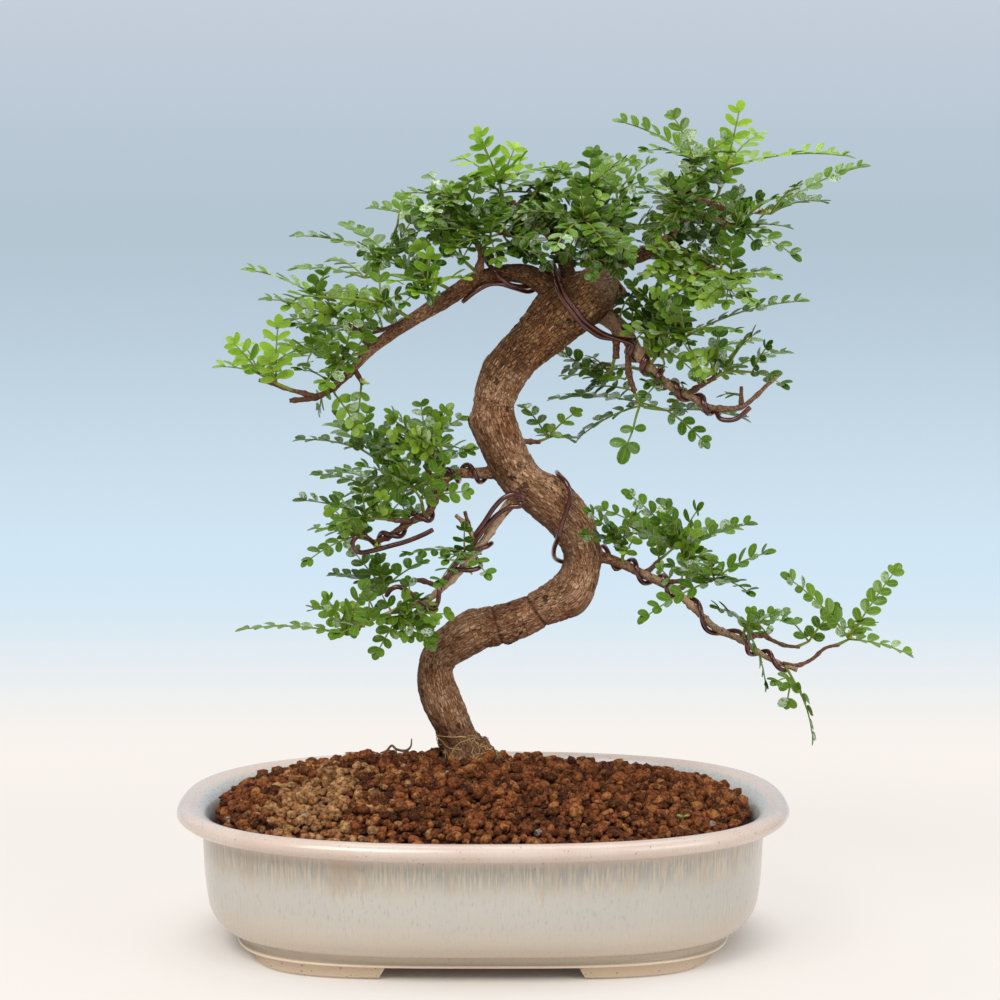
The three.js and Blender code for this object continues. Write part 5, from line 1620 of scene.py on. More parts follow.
# %% The drawn shoots
SHOOTS = {
    "left_tip": ([(-103, 299, -24), (-112, 303, -26), (-121, 308, -27)], [(2, -147, 312, -38, 45),
        (2, -139, 328.5, -26, 50), (1, -110, 341, -31, 80), (-1, -130, 325, -4, 40),
        (-1, -97, 322, -6, 50)]),
    "left_twig_high": ([(-60, 321.5, -18), (-66, 330, -19), (-80, 339, -21)], [(2, -122, 348.5, -30, 40),
        (1, -112, 332, 4, 35), (-1, -92, 356, -46, 55), (-1, -112, 332, 4, 35)]),
    "left_front_low": ([(-60, 321, -18), (-71, 318, -29), (-80, 315, -38)], [(2, -112, 325, -58, 45),
        (1, -88, 300, -66, 60), (-1, -92, 331, -74, 60), (-1, -100, 318, 2, 50)]),
    "left_back_low": ([(-70, 311, -19), (-84, 317, -4), (-92, 319, 6)], [(2, -118, 327, 30, 35),
        (-1, -96, 309, 36, 35), (-1, -78, 330, 20, 45), (-1, -70, 326, 34, 40)]),
    "left_front_high": ([(-38, 337, -15), (-52, 345, -30), (-72, 349, -44), (-90, 350.5, -52)], [
        (3, -131, 366, -64, 40), (3, -108, 344, -92, 45), (-1, -84, 364, -80, 60),
        (-1, -60, 352, -74, 60)]),
    "left_high": ([(-24, 345.5, -13), (-36, 361, -14), (-50, 370, -16)], [(2, -105, 382.5, -24, 35),
        (2, -76, 388, 14, 40), (-1, -54, 374, -54, 60)]),
    "left_back_high": ([(-14, 351.5, -10), (-30, 358, 12), (-48, 360, 34), (-64, 358, 48)], [
        (3, -106, 362, 60, 30), (3, -84, 366, 90, 35), (-1, -44, 376, 42, 40)]),
    "crown_left_back": ([(-3, 362, -8), (-14, 372, 8), (-26, 386, 21)], [(2, -64, 396, 26, 35),
        (2, -46, 402, 54, 40), (-1, -40, 380, -6, 45)]),
    "crown_left_front": ([(-5, 382, -17), (-8, 388, -20), (-14, 402, -25)], [(2, -48, 404.5, -34, 40),
        (2, -32, 415, -8, 45), (-1, -34, 388, -62, 50), (-1, -2, 416, -56, 60)]),
    "left_bright": ([(-26, 344.5, -13), (-29, 352, -27), (-30, 356, -35)], [(2, -28, 378, -44, 75),
        (2, -52, 358, -64, 55), (-1, -6, 360, -62, 60)]),
    "crown_upright_left": ([(11, 401.5, 0), (9, 410, -2)], [(1, -4, 441, -8, 82), (1, 24, 424, -22, 60),
        (-1, -14, 424, 22, 50), (-1, 38, 418, 18, 45)]),
    "crown_left_low": ([(28, 390, 6), (14, 385, -12), (4, 382, -26)], [(2, -20, 374, -62, 55),
        (2, 12, 396, -66, 60), (-1, -34, 386, -42, 45), (-1, 10, 394, -64, 60)]),
    "crown_left_rear": ([(38, 380, 10), (28, 384, 30), (16, 387, 48)], [(2, -24, 393, 60, 35),
        (2, 4, 382, 92, 30), (-1, 26, 398, 88, 35), (-1, 40, 404, 66, 35)]),
    "crown_top": ([(60, 399, -14), (57, 408, -18)], [(1, 34, 416, -44, 50), (1, 60, 428, -46, 60),
        (-1, 80, 424, -36, 50), (-1, 68, 424, 12, 45), (-1, 78, 424, -2, 50)]),
    "crown_front": ([(64, 388, -8), (58, 390, -26), (54, 391, -38)], [(2, 18, 396, -56, 55),
        (2, 38, 376, -84, 65), (-1, 52, 410, -80, 60), (-1, 70, 374, -82, 65)]),
    "crown_rear": ([(73, 394, 54), (72, 403, 64)], [(1, 42, 412, 74, 40), (1, 60, 396, 110, 30),
        (1, 102, 404, 96, 35), (-1, 94, 422, 54, 45)]),
    "crown_right_top": ([(114, 410, -6), (114, 422, -9)], [(1, 69, 444.5, -18, 50), (1, 104, 441, 18, 50),
        (1, 134, 426, -46, 55), (-1, 84, 428, -46, 65)]),
    "crown_upright_right": ([(124, 398, 3), (128, 408, 1), (131, 418, -1)], [(2, 139, 455, -8, 85),
        (2, 201, 423.5, 4, 40), (2, 150, 436, 30, 50)]),
    "crown_far_right": ([(147, 394, 16.5), (155, 393, 20)], [(1, 209, 419, 30, 40), (1, 186, 398, 56, 35),
        (-1, 172, 410, -8, 45)]),
    "crown_right_side": ([(129, 388.5, -11), (138, 387, -15)], [(1, 168, 386, -18, 40),
        (1, 172, 369, -40, 45), (-1, 160, 404, -38, 45)]),
    "crown_low_front": ([(120, 368, -25), (134, 362, -42)], [(1, 162, 360, -62, 50), (1, 112, 350, -76, 60),
        (-1, 146, 346, -80, 60), (-1, 132, 384, -76, 55)]),
    "crown_low_rear": ([(98, 377, 6), (110, 380, 22), (118, 381, 32)], [(2, 154, 384, 48, 35),
        (2, 138, 364, 72, 30), (-1, 138, 400, 60, 40)]),
    "right_high": ([(101, 342.5, 13), (109, 346, 16)], [(1, 144, 348, 14, 40), (1, 157, 363, 38, 40),
        (-1, 126, 344, 64, 35)]),
    "right_rear": ([(99, 316.5, 33), (114, 314, 52)], [(1, 152, 324, 68, 30), (1, 132, 302, 92, 30),
        (-1, 100, 330, 88, 35)]),
    "right_front": ([(90, 312, -4), (98, 322, -20), (109, 328, -34)], [(2, 177, 348.5, -50, 45),
        (2, 140, 332, -82, 55), (-1, 106, 346, -76, 60), (-1, 74, 330, -52, 60)]),
    "right_tip": ([(124, 305, -15), (132, 309, -17), (146, 309, -23)], [(1, 169, 319, -2, 40),
        (1, 150, 332, -44, 50), (-1, 166, 300, -44, 55)]),
    "right_low": ([(82, 297, 10), (86, 290, 13), (100, 287, 17)], [(2, 146, 280.5, 28, 40),
        (1, 50, 270, 26, 30), (-1, 122, 284, 58, 35), (-1, 34, 292, 44, 45)]),
    "behind_trunk": ([(72, 319, 0), (69, 309, 12), (63, 304, 24)], [(2, 36, 320, 40, 50),
        (1, 92, 304, 48, 40), (-1, 44, 303, 60, 40)]),
    "trunk_twig_leaves": ([(29, 270, 13), (35, 272, 18)], [(1, 54, 288, 24, 55), (1, 20, 290, 40, 55),
        (-1, 50, 269, 44, 40)]),
    "midleft_side": ([(-36, 249, 3), (-45, 253, 8), (-66, 266, 14)], [(2, -104, 270.5, 22, 35),
        (2, -82, 288, -2, 50), (-1, -84, 279, 52, 40), (-1, -62, 290, 30, 60)]),
    "midleft_up": ([(-31, 256, -4), (-31, 269, -7)], [(1, -54, 289, -20, 50), (1, -16, 292, -12, 60),
        (-1, -8, 284, 14, 55), (-1, -34, 292, 26, 50), (-1, -4, 264, -26, 55)]),
    "midleft_down": ([(-31, 249.7, 0), (-42, 241, 12), (-58, 243, 22)], [(2, -95, 252, 34, 35),
        (2, -80, 236, 58, 35), (-1, -66, 236, 70, 30)]),
    "midleft_front": ([(-50, 229, -25), (-64, 230, -36)], [(1, -104, 240, -46, 45), (1, -84, 224, -70, 50),
        (-1, -66, 250, -68, 60)]),
    "midleft_tip": ([(-58, 216.5, -20), (-70, 219.5, -21)], [(1, -96, 223, -6, 40),
        (1, -99.5, 203, -34, 45), (-1, -84, 236, -4, 50)]),
    "midleft_mass": ([(-32, 230.5, -13), (-34, 240, -24), (-38, 246, -30)], [(2, -70, 260, -46, 55),
        (2, -12, 252, -56, 60), (-1, -48, 262, -68, 60)]),
    "midleft_back": ([(-28, 250, -2), (-36, 244, 18), (-48, 243, 38)], [(2, -84, 252, 74, 30),
        (2, -44, 258, 84, 35), (-1, -10, 254, 44, 40)]),
    "lowleft_tip": ([(-54, 176.5, -25), (-62, 173, -28), (-74, 165.5, -29)], [(2, -136, 168, -40, 35),
        (1, -96, 178, 6, 35), (-1, -62, 197, -54, 65), (-1, -88, 190, -46, 60)]),
    "lowleft_hanging": ([(-44, 180.5, -23), (-46, 176, -31)], [(1, -26, 157, -42, 70),
        (1, -30, 186, -66, 60), (-1, -84, 164, -62, 60), (-1, -60, 152, -44, 65)]),
    "lowleft_back": ([(-43, 191, 1), (-54, 190, 11)], [(1, -86, 197, 24, 40), (1, -58, 208, 36, 40),
        (-1, -64, 184, 46, 35), (-1, -30, 204, 38, 45), (-1, -58, 210, 4, 50)]),
    "lowleft_high": ([(-7, 207, -13), (-10, 211, -22)], [(1, -46, 209, -38, 45), (1, -26, 192, -60, 50),
        (-1, 4, 196, -48, 50)]),
    "lowright_back": ([(94, 204, 9), (103, 211, 28)], [(1, 60, 234, 44, 45), (1, 142, 222, 50, 40),
        (-1, 98, 238, 62, 45), (-1, 122, 206, 76, 35)]),
    "lowright_high": ([(111, 200, 1), (108, 212, 4)], [(1, 75, 244.5, 6, 50), (1, 150, 226, 8, 45),
        (-1, 120, 238, -20, 55), (-1, 66, 222, -18, 50)]),
    "lowright_front": ([(108, 195, -20), (126, 196, -34)], [(1, 160, 212.5, -46, 50),
        (1, 148, 188, -76, 50), (-1, 120, 208, -78, 60), (-1, 84, 172, -40, 55)]),
    "lowright_knee": ([(142, 162, -19), (143, 170, -29)], [(1, 170, 174, -50, 65), (1, 155, 134, -44, -14),
        (-1, 124, 182, -56, 60)]),
    "lowright_hanging": ([(165, 149, -22), (169, 142, -25)], [(1, 181, 104, -32, -10),
        (1, 166, 124, -28, 60)]),
    "lowright_end": ([(193, 159.5, -20), (200, 163, -21)], [(1, 162, 200, -32, 55), (1, 228, 205, -24, 60),
        (1, 236, 153, -20, 45), (-1, 212, 170, 18, 45)]),
    "lowright_upper": ([(171, 158, 0.5), (178, 161, 4)], [(1, 192, 178, 14, 60), (-1, 161, 178, 26, 55)]),
}
SMALL_SHOOTS = {
    "left_rosette": ([(-84, 298.5, -21), (-84, 304, -26)], [(-1, -102, 311, -52, 55),
        (-1, -69, 316, -50, 60)]),
    "crown_left_top": ([(22, 394.5, 4), (28, 404, 16), (31, 408, 22)], [(-1, 38, 418, 48, 45),
        (-1, 56, 420, 10, 50), (-1, 6, 410, 42, 40)]),
    "crown_rear_right": ([(74, 388, 44), (84, 386, 52)], [(-1, 120, 382, 66, 35), (-1, 96, 372, 96, 30)]),
    "crown_right_front": ([(106, 394, -1), (105, 397, -16), (106, 399, -26)], [(-1, 84, 406, -52, 60),
        (-1, 112, 412, -66, 65), (-1, 128, 402, -58, 60)]),
    "midleft_near": ([(-23, 248, -9), (-21, 258, -16), (-20, 261, -20)], [(-1, -2, 268, -24, 55),
        (-1, -36, 274, -44, 60)]),
    "lowright_inner": ([(76, 203.5, -3), (76, 213, -10)], [(-1, 54, 235, -24, 55), (-1, 86, 234, -40, 60)]),
}
YOUNG = {"left_tip", "left_bright", "crown_upright_left", "crown_upright_right"}
SPARSE = {"lowright_end", "lowright_hanging", "lowright_upper", "lowright_knee", "trunk_twig_leaves",
          "left_tip", "lowleft_tip", "crown_far_right", "behind_trunk", "right_low"}
print(len(SHOOTS), "shoots in the model and", len(SMALL_SHOOTS), "small ones between them")

# %% [markdown]
# Between the long leaves a real shoot is full of short ones, in every stage of opening. They
# are drawn by a seeded hand: each starts on the stem or on a drawn leaf's foot, spreads outward
# and upward, and stays shorter than the leaves that shape the tree's outline.

# %% Shoots with their short inner leaves
INNER_FRONDS = 2


def inner_fronds(stem_points, tips, count):
    """Short fronds about a stem: their base, tip and lean."""
    middle = np.mean(stem_points, axis=0)
    spread = unit(np.mean(tips, axis=0) - middle)
    rows = []
    for _ in range(count):
        base = stem_points[leaf_draw.integers(1, len(stem_points))]
        side = leaf_draw.normal(size=3) * np.array([0.9, 0.9, 0.55])
        way = unit(0.55 * spread + side + np.array([0, 0, 0.35]))
        tip = base + way * leaf_draw.uniform(19, 33)
        rows.append((base, tip, leaf_draw.uniform(25, 75)))
    return rows


def leaf_mesh(heap, name):
    """The heap as a mesh whose leaflets are shaded flat up to a crisp rim."""
    mesh = heap.mesh(name)
    mesh.set_sharp_from_angle(angle=RIM_ANGLE)
    return mesh


def grow_shoot(name, stem, fronds, age):
    heap = Heap(*LEAF_VALUES)
    stem_points = drawn(stem)
    lay_stem(heap, stem_points, age)
    tips = []
    for row, x, z, depth, face in fronds:
        tips.append(seen(x, z, depth))
        rising = abs(unit(tips[-1] - stem_points[row])[2])
        lay_frond(heap, stem_points[row], tips[-1], face * (0.28 + 0.72 * rising), age, 0.1)
    count = 1 if name in SPARSE else INNER_FRONDS
    for base, tip, face in inner_fronds(stem_points, tips, count):
        lay_frond(heap, base, tip, face, max(age, float(leaf_draw.random() < 0.25) * 0.5))
    return leaf_mesh(heap, name)


# %% [markdown]
# A grower trims a bonsai into pads, clouds of leaves with air between them. The pads are dense:
# every twig in them carries leaves. Each pad is given as a soft box in the front view. Leaf tips
# are drawn inside it, and every leaf then looks for the nearest wood or stem and grows from
# there on its own stalk, so that no leaf hangs in the air.

# %% The leaf pads
# Each pad is its middle (x, z, depth), its half-size, its number of leaves and its painted light: below 0 its
# green is darker, as shade, above 0 lighter, as light.
PADS = {
    "crown_left": ((-14, 395, 0), (36, 20, 46), 54, -0.36),
    "crown_middle": ((44, 390, -4), (44, 26, 54), 98, -0.5),
    "crown_right": ((112, 398, -6), (42, 32, 52), 88, -0.38),
    "crown_underside": ((58, 372, -32), (44, 11, 26), 32, -0.45),
    "right_shoulder": ((104, 344, -18), (36, 26, 44), 44, 0.0),
    "crown_front_right": ((84, 356, -34), (26, 26, 22), 34, 0.0),
    "behind_stub": ((56, 307, 34), (16, 14, 14), 7, 0.6),
    "right_low": ((116, 306, -10), (34, 18, 40), 13, 0.2),
    "left_outer": ((-74, 343, -22), (42, 16, 46), 17, 0.2),
    "left_inner": ((-34, 366, -20), (26, 16, 40), 16, 0.0),
    "mid_left_top": ((-46, 268, -10), (34, 19, 42), 30, 0.6),
    "mid_left_low": ((-60, 236, -14), (30, 14, 40), 15, 0.15),
    "low_left": ((-54, 180, -18), (28, 12, 34), 8, 0.0),
    "low_left_tail": ((-34, 164, -36), (14, 10, 12), 5, 0.0),
    "low_right": ((104, 214, -10), (36, 18, 38), 12, 0.1),
    "low_right_end": ((150, 172, -16), (16, 14, 24), 4, 0.1),
}
CARRIER_RADIUS = 4.5
LONGEST_STALK = 46.0
CLOSE_TO_WOOD = 13
CLOSE_LENGTH = 17


def supports():
    """Places that can carry a leaf: thin wood and the shoots' stems."""
    spots = [line[(radii < CARRIER_RADIUS) & (np.arange(len(line)) > 3)]
             for name, (line, radii) in limbs.items()
             if name != "trunk" and name not in ROOTS]
    for stem, _ in (*SHOOTS.values(), *SMALL_SHOOTS.values()):
        spots.append(smooth_line(drawn(stem), 6))
    return np.concatenate(spots)


carriers = supports()
carrier_tree = search_tree(carriers)


def grow_pad(centre, half, count, age, light):
    """Fills one pad with leaves, each on a stalk from the nearest wood."""
    heap = Heap(*LEAF_VALUES)
    for _ in range(count):
        far_out = leaf_draw.random()**0.45
        way = unit(leaf_draw.normal(size=3)) * far_out
        tip = seen(*(np.array(centre) + way * np.array(half)))
        length = leaf_draw.uniform(19, 34)
        hits = carrier_tree.find_n(tip, 6)
        foot = np.array(hits[leaf_draw.integers(len(hits))][0])
        reach = np.linalg.norm(tip - foot)
        if reach > LONGEST_STALK:
            continue
        if reach < CLOSE_TO_WOOD:
            tip = foot + unit(tip - foot + np.array([0, 0, 2.0])) * CLOSE_LENGTH
            reach = CLOSE_LENGTH
        length = min(length, reach)
        base = tip + (foot - tip) * (length / reach)
        if reach - length > 1.5:
            bow = (foot + base) / 2 + np.array([0, 0, 0.08 * reach])
            lay_stalk(heap, smooth_line(np.array([foot, bow, base]), 5), np.linspace(0.9, 0.6, 5), age, 4,
                      0.9 if reach - length > 7 else 0.4)
        front = float(way[2] * half[2] < -8)
        face = leaf_draw.uniform(8, 60) + 18 * front
        frond_age = float(np.clip(age * leaf_draw.choice([0, 1, 2, 3.5]), 0, 1))
        frond_age = min(0.75, frond_age + 0.4 * max(0.0, way[1] - 0.2))
        # Painted shade and light: leaves far inside the pad are darker, outer ones lighter, and those towards
        # the back lighter too.
        painted_depth_shade = 2.0 * (far_out - 0.77) + 0.55 * way[1]
        lay_frond(heap, base, tip, face, frond_age, light + painted_depth_shade)
    return heap


# %% [markdown]
# Old leaves are a deep glossy green; young ones are thinner, yellower and let light through. The
# underside is paler and dull. Some leaflets carry small white patches of reflected sky, painted
# into their colour as a painted reflection, and a thicker coat. The gloss is a coat over a soft
# body, light passing through a thin leaf is a little transmission of colour, done here as
# subsurface, and the vein is a pale line where the across value is near zero. Leaves deep in
# the tree are painted darker, as shade, and outer ones lighter, as light.

# %% Leaf green
LEAF_DEEP = srgb(8, 28, 5)
LEAF_MID = srgb(58, 100, 14)
LEAF_BRIGHT = srgb(112, 152, 32)
LEAF_YOUNG = srgb(158, 190, 62)
LEAF_UNDER = srgb(100, 126, 52)
LEAF_SHADE = srgb(24, 44, 12)
LEAF_PAINTED_GLINT = srgb(198, 212, 192)
STEM_GREEN = srgb(132, 150, 58)
STEM_BROWN = srgb(78, 56, 36)


def build_leaf_green(name, freshness):
    """freshness 0 is a hardened summer leaf, 1 a leaf that has just opened."""
    material, tree, shader = new_finish(name)
    place = own_place(tree)
    old = blend(stored(tree, "tone"), LEAF_DEEP, LEAF_MID)
    new = blend(stored(tree, "tone"), LEAF_BRIGHT, LEAF_YOUNG)
    colour = blend(stored(tree, "age"), old, new)
    patch = mottled(place, 300.0, 1.6)
    colour = blend(patch * 0.22, colour, LEAF_BRIGHT)
    from_vein = calculate("ABSOLUTE", stored(tree, "across"))
    line = larger(rise(from_vein, 0.14, 0.03), rise(from_vein, 0.8, 0.98))
    colour = blend(line * 0.32, colour, LEAF_YOUNG)
    lower_skin = rise(stored(tree, "under"), 0.49, 0.52)
    streaks = cloud(place, 760.0, 3.0, 0.6)
    # Painted reflection: whitish streaks of reflected sky on those leaflets.
    wax = stored(tree, "wax") * rise(streaks, 0.40, 0.54)
    colour = blend(wax * 0.7, colour, LEAF_PAINTED_GLINT)
    under = blend(stored(tree, "tone"), LEAF_SHADE, LEAF_UNDER)
    under = blend(stored(tree, "age"), under, LEAF_BRIGHT)
    colour = blend(lower_skin, colour, under)
    stalk = blend(stored(tree, "tone"), STEM_GREEN, STEM_BROWN)
    stalk = blend(patch * 0.4, stalk, STEM_BROWN)
    stem = stored(tree, "stem")
    colour = blend(stem, colour, stalk)
    ripple = cloud(place, 420.0, 2.0, 0.5)
    fine = grit_of(place, 1800.0, 0.3)
    height = ripple * 1.5 + fine * 0.2
    dull = larger(lower_skin, stem)
    rough = dull * 0.3 + (0.30 + patch * 0.12)
    gloss = 0.26 - 0.1 * freshness + wax * 0.6
    coat = (1.0 - dull) * gloss
    set_shader(shader, Base_Color=colour, Roughness=rough, Coat_Weight=coat, Normal=relief(height, 0.35),
               Coat_Roughness=0.14, Specular_IOR_Level=0.2, Subsurface_Weight=0.10 + 0.15 * freshness,
               Subsurface_Radius=(0.3, 1.0, 0.15), Subsurface_Scale=0.0012)
    return material


leaf_green = build_leaf_green("glossy leaf", 0.0)
young_green = build_leaf_green("young leaf", 1.0)
for name, (stem, fronds) in SHOOTS.items():
    fresh = name in YOUNG
    age = 0.85 if fresh else float(leaf_draw.choice([0.1, 0.2, 0.35]))
    piece("leaves_" + name, grow_shoot(name, stem, fronds, age), young_green if fresh else leaf_green,
          ["shoot_" + name])
for name, (stem, fronds) in SMALL_SHOOTS.items():
    piece("leaves_" + name, grow_shoot(name, stem, fronds, 0.1), leaf_green)
for name, (centre, half, count, light) in PADS.items():
    pad_age = 0.05 if "crown" in name else 0.22
    pad_heap = grow_pad(centre, half, count, pad_age, light)
    piece("pad_" + name, leaf_mesh(pad_heap, name), leaf_green)

# %% [markdown]
# Below the right-hand branch hangs one big old leaf of five wide leaflets, and on the granules at
# the right a seedling has opened its first two. Both are laid leaflet by leaflet.

# %% A hanging leaf and a seedling
HANGING_STALK = [(85, 290, 12), (83, 284, 8), (81, 276, 5), (78.4, 269.6, 4)]
HANGING_LEAFLETS = [
    (82, 277.4, -1.0, -0.05, 7.8, 1.0), (82, 277.4, 1.0, 0.12, 6.8, 1.1), (78.4, 269.6, -1.0, 0.06, 10, 0.95),
    (78.4, 269.6, 0.7, -0.5, 8.2, 1.3), (78.4, 269.6, -0.3, -1.0, 12.4, 0.95),
]
SEEDLING = (104, -76)


def build_single_leaves():
    heap = Heap(*LEAF_VALUES)
    lay_stalk(heap, smooth_line(drawn(HANGING_STALK), 12), np.linspace(0.8, 0.5, 12), 0.4, 6)
    for x, z, aside, up, length, width in HANGING_LEAFLETS:
        way = unit(np.array([aside, 0.1, up]))
        face = np.array([0.1, -0.95, 0.3])
        face = unit(face - face.dot(way) * way)
        lay_leaflet(heap, seen(x, z, 4), way, face, length, width, 0.1, 0.75)
    x, y = SEEDLING
    foot = np.array([x, y, soil_height(x, y) - 1.0])
    top = foot + np.array([0.4, -0.6, 5.2])
    lay_stalk(heap, np.array([foot, (foot + top) / 2, top]), np.array([0.4, 0.35, 0.3]), 0.9, 5)
    for aside in (-1, 1):
        way = unit(np.array([aside, -0.3, 0.35]))
        face = unit(np.cross(way, (0.1, 1.0, 0.1)) * aside)
        lay_leaflet(heap, top, way, -face if face[2] < 0 else face, 3.6, 1.2, 0.5, 0.9)
    return leaf_mesh(heap, "single leaves")


piece("single_leaves", build_single_leaves(), leaf_green)

# %% [markdown]
# In the leaf joints sit clusters of yellow buds, a few millimetres across. They are the
# brightest specks on the tree. Each cluster is a handful of small rods that leave one point.

# %% Yellow buds
BUDS = [
    (115, 423, -10), (135, 422, -6), (158, 396, 4), (104, 399, -24), (75, 351, -30), (113, 331, -36),
    (-8, 372, -34), (117, 308, -28), (105, 215, -8), (200, 165, -22), (-64, 304, -30), (-38, 360, -30),
    (60, 398, -40), (-40, 262, -30), (-56, 203, -32), (124, 352, -40), (90, 420, -20), (-96, 335, -30),
    (132, 376, -36), (20, 396, -32), (-2, 196, -18), (-66, 171, -32), (150, 205, -30),
]
BUDS_EACH = 9


def build_buds():
    heap = Heap(*LEAF_VALUES)
    for bud in BUDS:
        centre = seen(*bud)
        foot, _, reach = carrier_tree.find(centre)
        foot = np.array(foot)
        centre = foot + unit(centre - foot) * min(reach, 4.0)
        if reach > 1.5:
            lay_stalk(heap, smooth_line(np.array([foot, (foot + centre) / 2, centre]), 5),
                      np.linspace(0.6, 0.5, 5), 0.6, 4, 0.3)
        for _ in range(BUDS_EACH):
            way = unit(leaf_draw.normal(size=3) + np.array([0, -0.5, 0.9]))
            end = centre + way * leaf_draw.uniform(1.6, 3.8)
            line = np.array([centre, (centre + end) / 2 + leaf_draw.normal(size=3) * 0.2, end])
            heap.add(*bar(line, np.array([0.3, 0.7, 0.45]), 6), along=0.5, across=1.0, age=1.0,
                     tone=1.0, under=0.0, stem=0.0, wax=0.0)
    return heap.mesh("buds")


bud_yellow = plain_finish(
    "bud yellow", 500.0, 1.8, (128, 156, 44), (206, 206, 96), 0.4, 0.2, (1400.0,), 0.15)
piece("yellow_buds", build_buds(), bud_yellow)

# %% [markdown]
# Small things make a pot of soil look lived in: a dry curled twig that fell beside the trunk.

# %% The dry twig on the soil
DRY_TWIG = [
    [(-56.5, 99.4, -2, 0.45), (-53, 100.8, -3, 0.6), (-50.2, 103.6, -3.4, 0.65), (-47.6, 101.6, -4.4, 0.7),
     (-42.4, 100.9, -5, 0.75), (-39.9, 103, -5, 0.55), (-39.2, 107.5, -4, 0.3)],
    [(-43, 100.8, -5, 0.5), (-44.6, 98.6, -7, 0.35), (-47.4, 98.2, -9, 0.25)],
    [(-41.6, 101.2, -5, 0.5), (-40.2, 98.8, -7, 0.35), (-37.4, 98.6, -9, 0.25)],
    [(-53.4, 100.7, -3, 0.4), (-55.4, 98.6, -5, 0.3), (-56, 97, -6, 0.25)],
    [(-48.4, 102, -4, 0.35), (-47.6, 99.6, -6, 0.3), (-49.4, 97.4, -8, 0.25)],
]


def build_dry_twig():
    heap = Heap()
    for rows in DRY_TWIG:
        line = smooth_line(drawn(rows), 8 * len(rows))
        heap.add(*bar(line[:, :3], line[:, 3], 8))
    return heap.mesh("dry twig")


dry_wood = plain_finish(
    "dry twig", 420.0, 2.0, (58, 40, 28), (128, 100, 74), 0.7, 0.2, (1300.0, 4.0, 0.7), 0.3)
piece("dry_twig_curled", build_dry_twig(), dry_wood, ["dry_twig"])

# %% [markdown]
# Where the trunk meets the soil, fine golden roots cling to the bark, and a few more curl on the
# granules where the soil was opened. Each one walks over the bark: from a point on it, a small
# step aside and down, and then back to the nearest point of the skin.

# %% Fine roots
ROOTLETS = 44
ROOTLET_STEPS = 9
CURLS = [(-104, -78), (-98, -84), (-92, -74), (-110, -70), (-88, -82), (22, 12), (25, 8), (-34, -10)]
root_draw = np.random.default_rng(23)


def walk_on_bark(spots, ways, tree):
    """A line of points that starts on the bark and stays close to it."""
    place = spots[root_draw.integers(len(spots))]
    drift = np.array([root_draw.normal() * 1.3, 0.0, -root_draw.uniform(0.2, 1.0)])
    line = []
    for _ in range(ROOTLET_STEPS):
        _, index, _ = tree.find(place)
        line.append(spots[index] + ways[index] * root_draw.uniform(0.25, 0.9))
        drift = drift + root_draw.normal(size=3) * 0.7
        place = line[-1] + drift
    return line


def build_fine_roots():
    low = np.flatnonzero((skin_points[:, 2] > 95) & (skin_points[:, 2] < 111) & (skin_points[:, 1] < 8))
    spots, ways = skin_points[low], skin_normals[low]
    tree = search_tree(spots)
    heap = Heap("tone")
    lines = [walk_on_bark(spots, ways, tree) for _ in range(ROOTLETS)]
    for x, y in CURLS:
        turn, bend = root_draw.uniform(0, 6.28), root_draw.uniform(0.5, 0.9)
        place = np.array([x, y, soil_height(x, y) + 0.6])
        line = []
        for step in range(8):
            line.append(place.copy())
            place += 1.7 * np.array([math.cos(turn), math.sin(turn), root_draw.normal() * 0.5])
            place[2] = max(place[2], soil_height(place[0], place[1]) + 0.4)
            turn += bend
        lines.append(line)
    for line in lines:
        line = smooth_line(np.array(line), 3 * len(line))
        thick = root_draw.uniform(0.16, 0.36)
        heap.add(*bar(line, np.linspace(thick, 0.12, len(line)), 5), tone=root_draw.random())
    return heap.mesh("fine roots")


root_gold = plain_finish(
    "fine roots", 600.0, 1.6, (88, 54, 26), (232, 190, 122), 0.66, 0.2, (1600.0,), 0.2, own_tone=True)
piece("fine_roots", build_fine_roots(), root_gold)

# %% [markdown]
# The plastic drain screens lie under the soil and already have their true shape in the model,
# so they keep it and only get a moulded plastic finish.

# %% Moulded plastic for the drain screens
plastic = plain_finish(
    "moulded plastic", 120.0, 1.2, (30, 32, 34), (50, 52, 55), 0.5, 0.15, (2500.0, 2.0, 0.5), 0.05)
for side in ("left", "right"):
    screen = frame["nodes"]["drain_screen_" + side]
    screen.data.materials.clear()
    screen.data.materials.append(plastic)
print("drain screens kept from the model")

# %% [markdown]
# A product photograph of a plant is lit by a large soft window of light from above and in front,
# before a pale sweep of paper. The sweep is one curved sheet, pale blue above and warm white
# below, so that the reflections in the glaze have something to show. It stands far back, so the
# plant can be walked round, and its colours are laid out along the lines of sight from the
# front. Away from the pot the paper glows a little by itself, painted light that keeps the
# shadow under the pot small and soft.

# %% The paper sweep
CAMERA_LIFT = 38.0
SIGHT_DISTANCE = 2.15
TABLE_OVAL = (0.142, 0.110)
FLOOR_WARM = srgb(228, 222, 216)
PAPER_LOW = srgb(191, 210, 223)
PAPER_MID = srgb(164, 180, 192)
PAPER_TOP = srgb(190, 194, 206)
SWEEP_PAINTED_GLOW = 0.02
TABLE_PAINTED_GLOW = 0.7
SWEEP_FRONT = -2.4
SWEEP_BACK = 2.6
SWEEP_BEND = 0.35
SWEEP_TOP = 2.4
SWEEP_HALF = 2.8


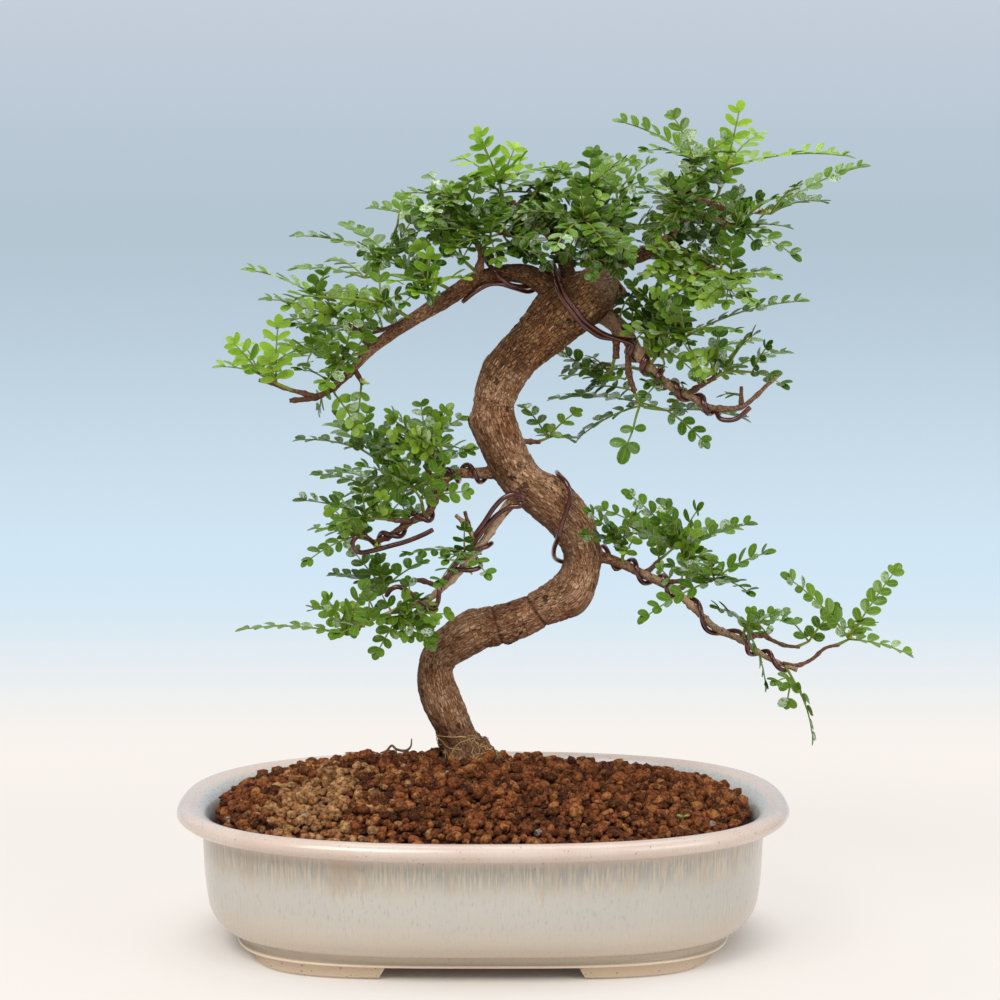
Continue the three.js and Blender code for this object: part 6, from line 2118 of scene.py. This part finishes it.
def build_sweep():
    material, tree, shader = new_finish("paper sweep")
    place = own_place(tree)
    eye_height = (EYE[2] + CAMERA_LIFT) * MM
    distance = add_node(tree, "SeparateXYZ", {0: place}, output=1) - EYE[1] * MM
    slope = (height_of(tree) - eye_height) / larger(distance, 0.3)
    height = slope * SIGHT_DISTANCE + eye_height
    warm = blend(rise(height, -0.054, 0.116), FLOOR_WARM, PAPER_LOW)
    mid = blend(rise(height, 0.086, 0.42), warm, PAPER_MID)
    colour = blend(rise(height, 0.36, 0.75), mid, PAPER_TOP)
    middle = add_node(tree, "VectorMath", {0: place, 1: (-POT_X, 0, 0)}, operation="ADD")
    away = add_node(tree, "VectorMath",
                    {0: stretched(middle, 1 / TABLE_OVAL[0], 1 / TABLE_OVAL[1], 0)}, output="Value",
                    operation="LENGTH")
    # Painted light: the paper glows by itself beyond the pot's foot, and fully far away, to keep the pot's
    # shadow small and soft.
    near = rise(away, 0.88, 1.25) * TABLE_PAINTED_GLOW
    far = rise(away, 2.5, 5.5) * (1 - TABLE_PAINTED_GLOW)
    painted_glow = near + far
    body = blend(painted_glow, colour, (0, 0, 0, 1))
    set_shader(shader, Base_Color=body, Roughness=0.95, Emission_Color=colour,
               Emission_Strength=painted_glow * 1.2 + SWEEP_PAINTED_GLOW, Specular_IOR_Level=0.1)
    return material


def sweep_mesh():
    line = [(SWEEP_FRONT, 0.0), (0.1, 0.0), (1.2, 0.0)]
    for turn in np.linspace(0, math.pi / 2, 24):
        along = SWEEP_BACK - SWEEP_BEND * (1 - math.sin(turn))
        line.append((along, SWEEP_BEND * (1 - math.cos(turn))))
    line.append((SWEEP_BACK, SWEEP_TOP))
    points = [(x, y, z - 0.0004) for y, z in line for x in (-SWEEP_HALF, SWEEP_HALF)]
    faces = [(2 * i, 2 * i + 1, 2 * i + 3, 2 * i + 2) for i in range(len(line) - 1)]
    mesh = bpy.data.meshes.new("sweep")
    mesh.from_pydata(points, [], faces)
    mesh.shade_smooth()
    return mesh


sweep = put("paper_sweep", sweep_mesh())
sweep.data.materials.append(build_sweep())
print("sweep made")

# %% Soft studio light
def soft_light(name, place, aim, size, power, colour):
    data = bpy.data.lights.new(name, "AREA")
    data.shape = "RECTANGLE"
    data.size, data.size_y = size
    data.energy = power
    data.color = colour
    made = put(name, data)
    made.location = place
    made.rotation_euler = (Vector(aim) - Vector(place)).to_track_quat("-Z", "Y").to_euler()


middle = (0.0, 0.0, 0.22)
soft_light("key", (-0.75, -1.15, 1.45), middle, (1.1, 0.9), 23, (1.0, 0.98, 0.95))
soft_light("fill", (1.25, -1.0, 0.9), middle, (1.0, 1.0), 10.5, (0.95, 0.98, 1.0))
soft_light("top", (0.1, 0.25, 1.6), middle, (1.2, 0.9), 12, (0.97, 0.98, 1.0))
world = bpy.data.worlds.new("studio air")
bpy.context.scene.world = world
world.use_nodes = True
air = world.node_tree.nodes["Background"]
air.inputs["Color"].default_value = srgb(230, 233, 237)
air.inputs["Strength"].default_value = 0.42
bpy.context.scene.view_settings.view_transform = "Standard"
print("three soft lights and pale air")

# %% [markdown]
# The camera stands where the photographer's did: 1.4 m in front of the trunk, above the middle
# of the tree, and tipped down by five degrees, which opens the pot's rim to a narrow oval.

# %% The camera
AIM_HEIGHT = 238.8
camera_data = bpy.data.cameras.new("camera")
camera_data.sensor_width = 36
camera_data.lens = 93.0
camera_data.clip_start = 0.05
camera = put("camera", camera_data)
camera.location = (EYE[0] * MM + POT_X, EYE[1] * MM, (EYE[2] + CAMERA_LIFT) * MM)
camera.rotation_euler = (math.radians(90) - math.atan((EYE[2] + CAMERA_LIFT - AIM_HEIGHT) / -EYE[1]), 0, 0)
bpy.context.scene.camera = camera
bpy.context.view_layer.update()
print("camera at", tuple(round(value, 4) for value in camera.location))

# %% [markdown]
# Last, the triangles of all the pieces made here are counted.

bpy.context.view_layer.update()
made_here = [thing for thing in bpy.data.objects if thing.type == "MESH" and not thing.get("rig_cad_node")]
print("triangles in all:", sum(len(face.vertices) - 2 for thing in made_here for face in thing.data.polygons))
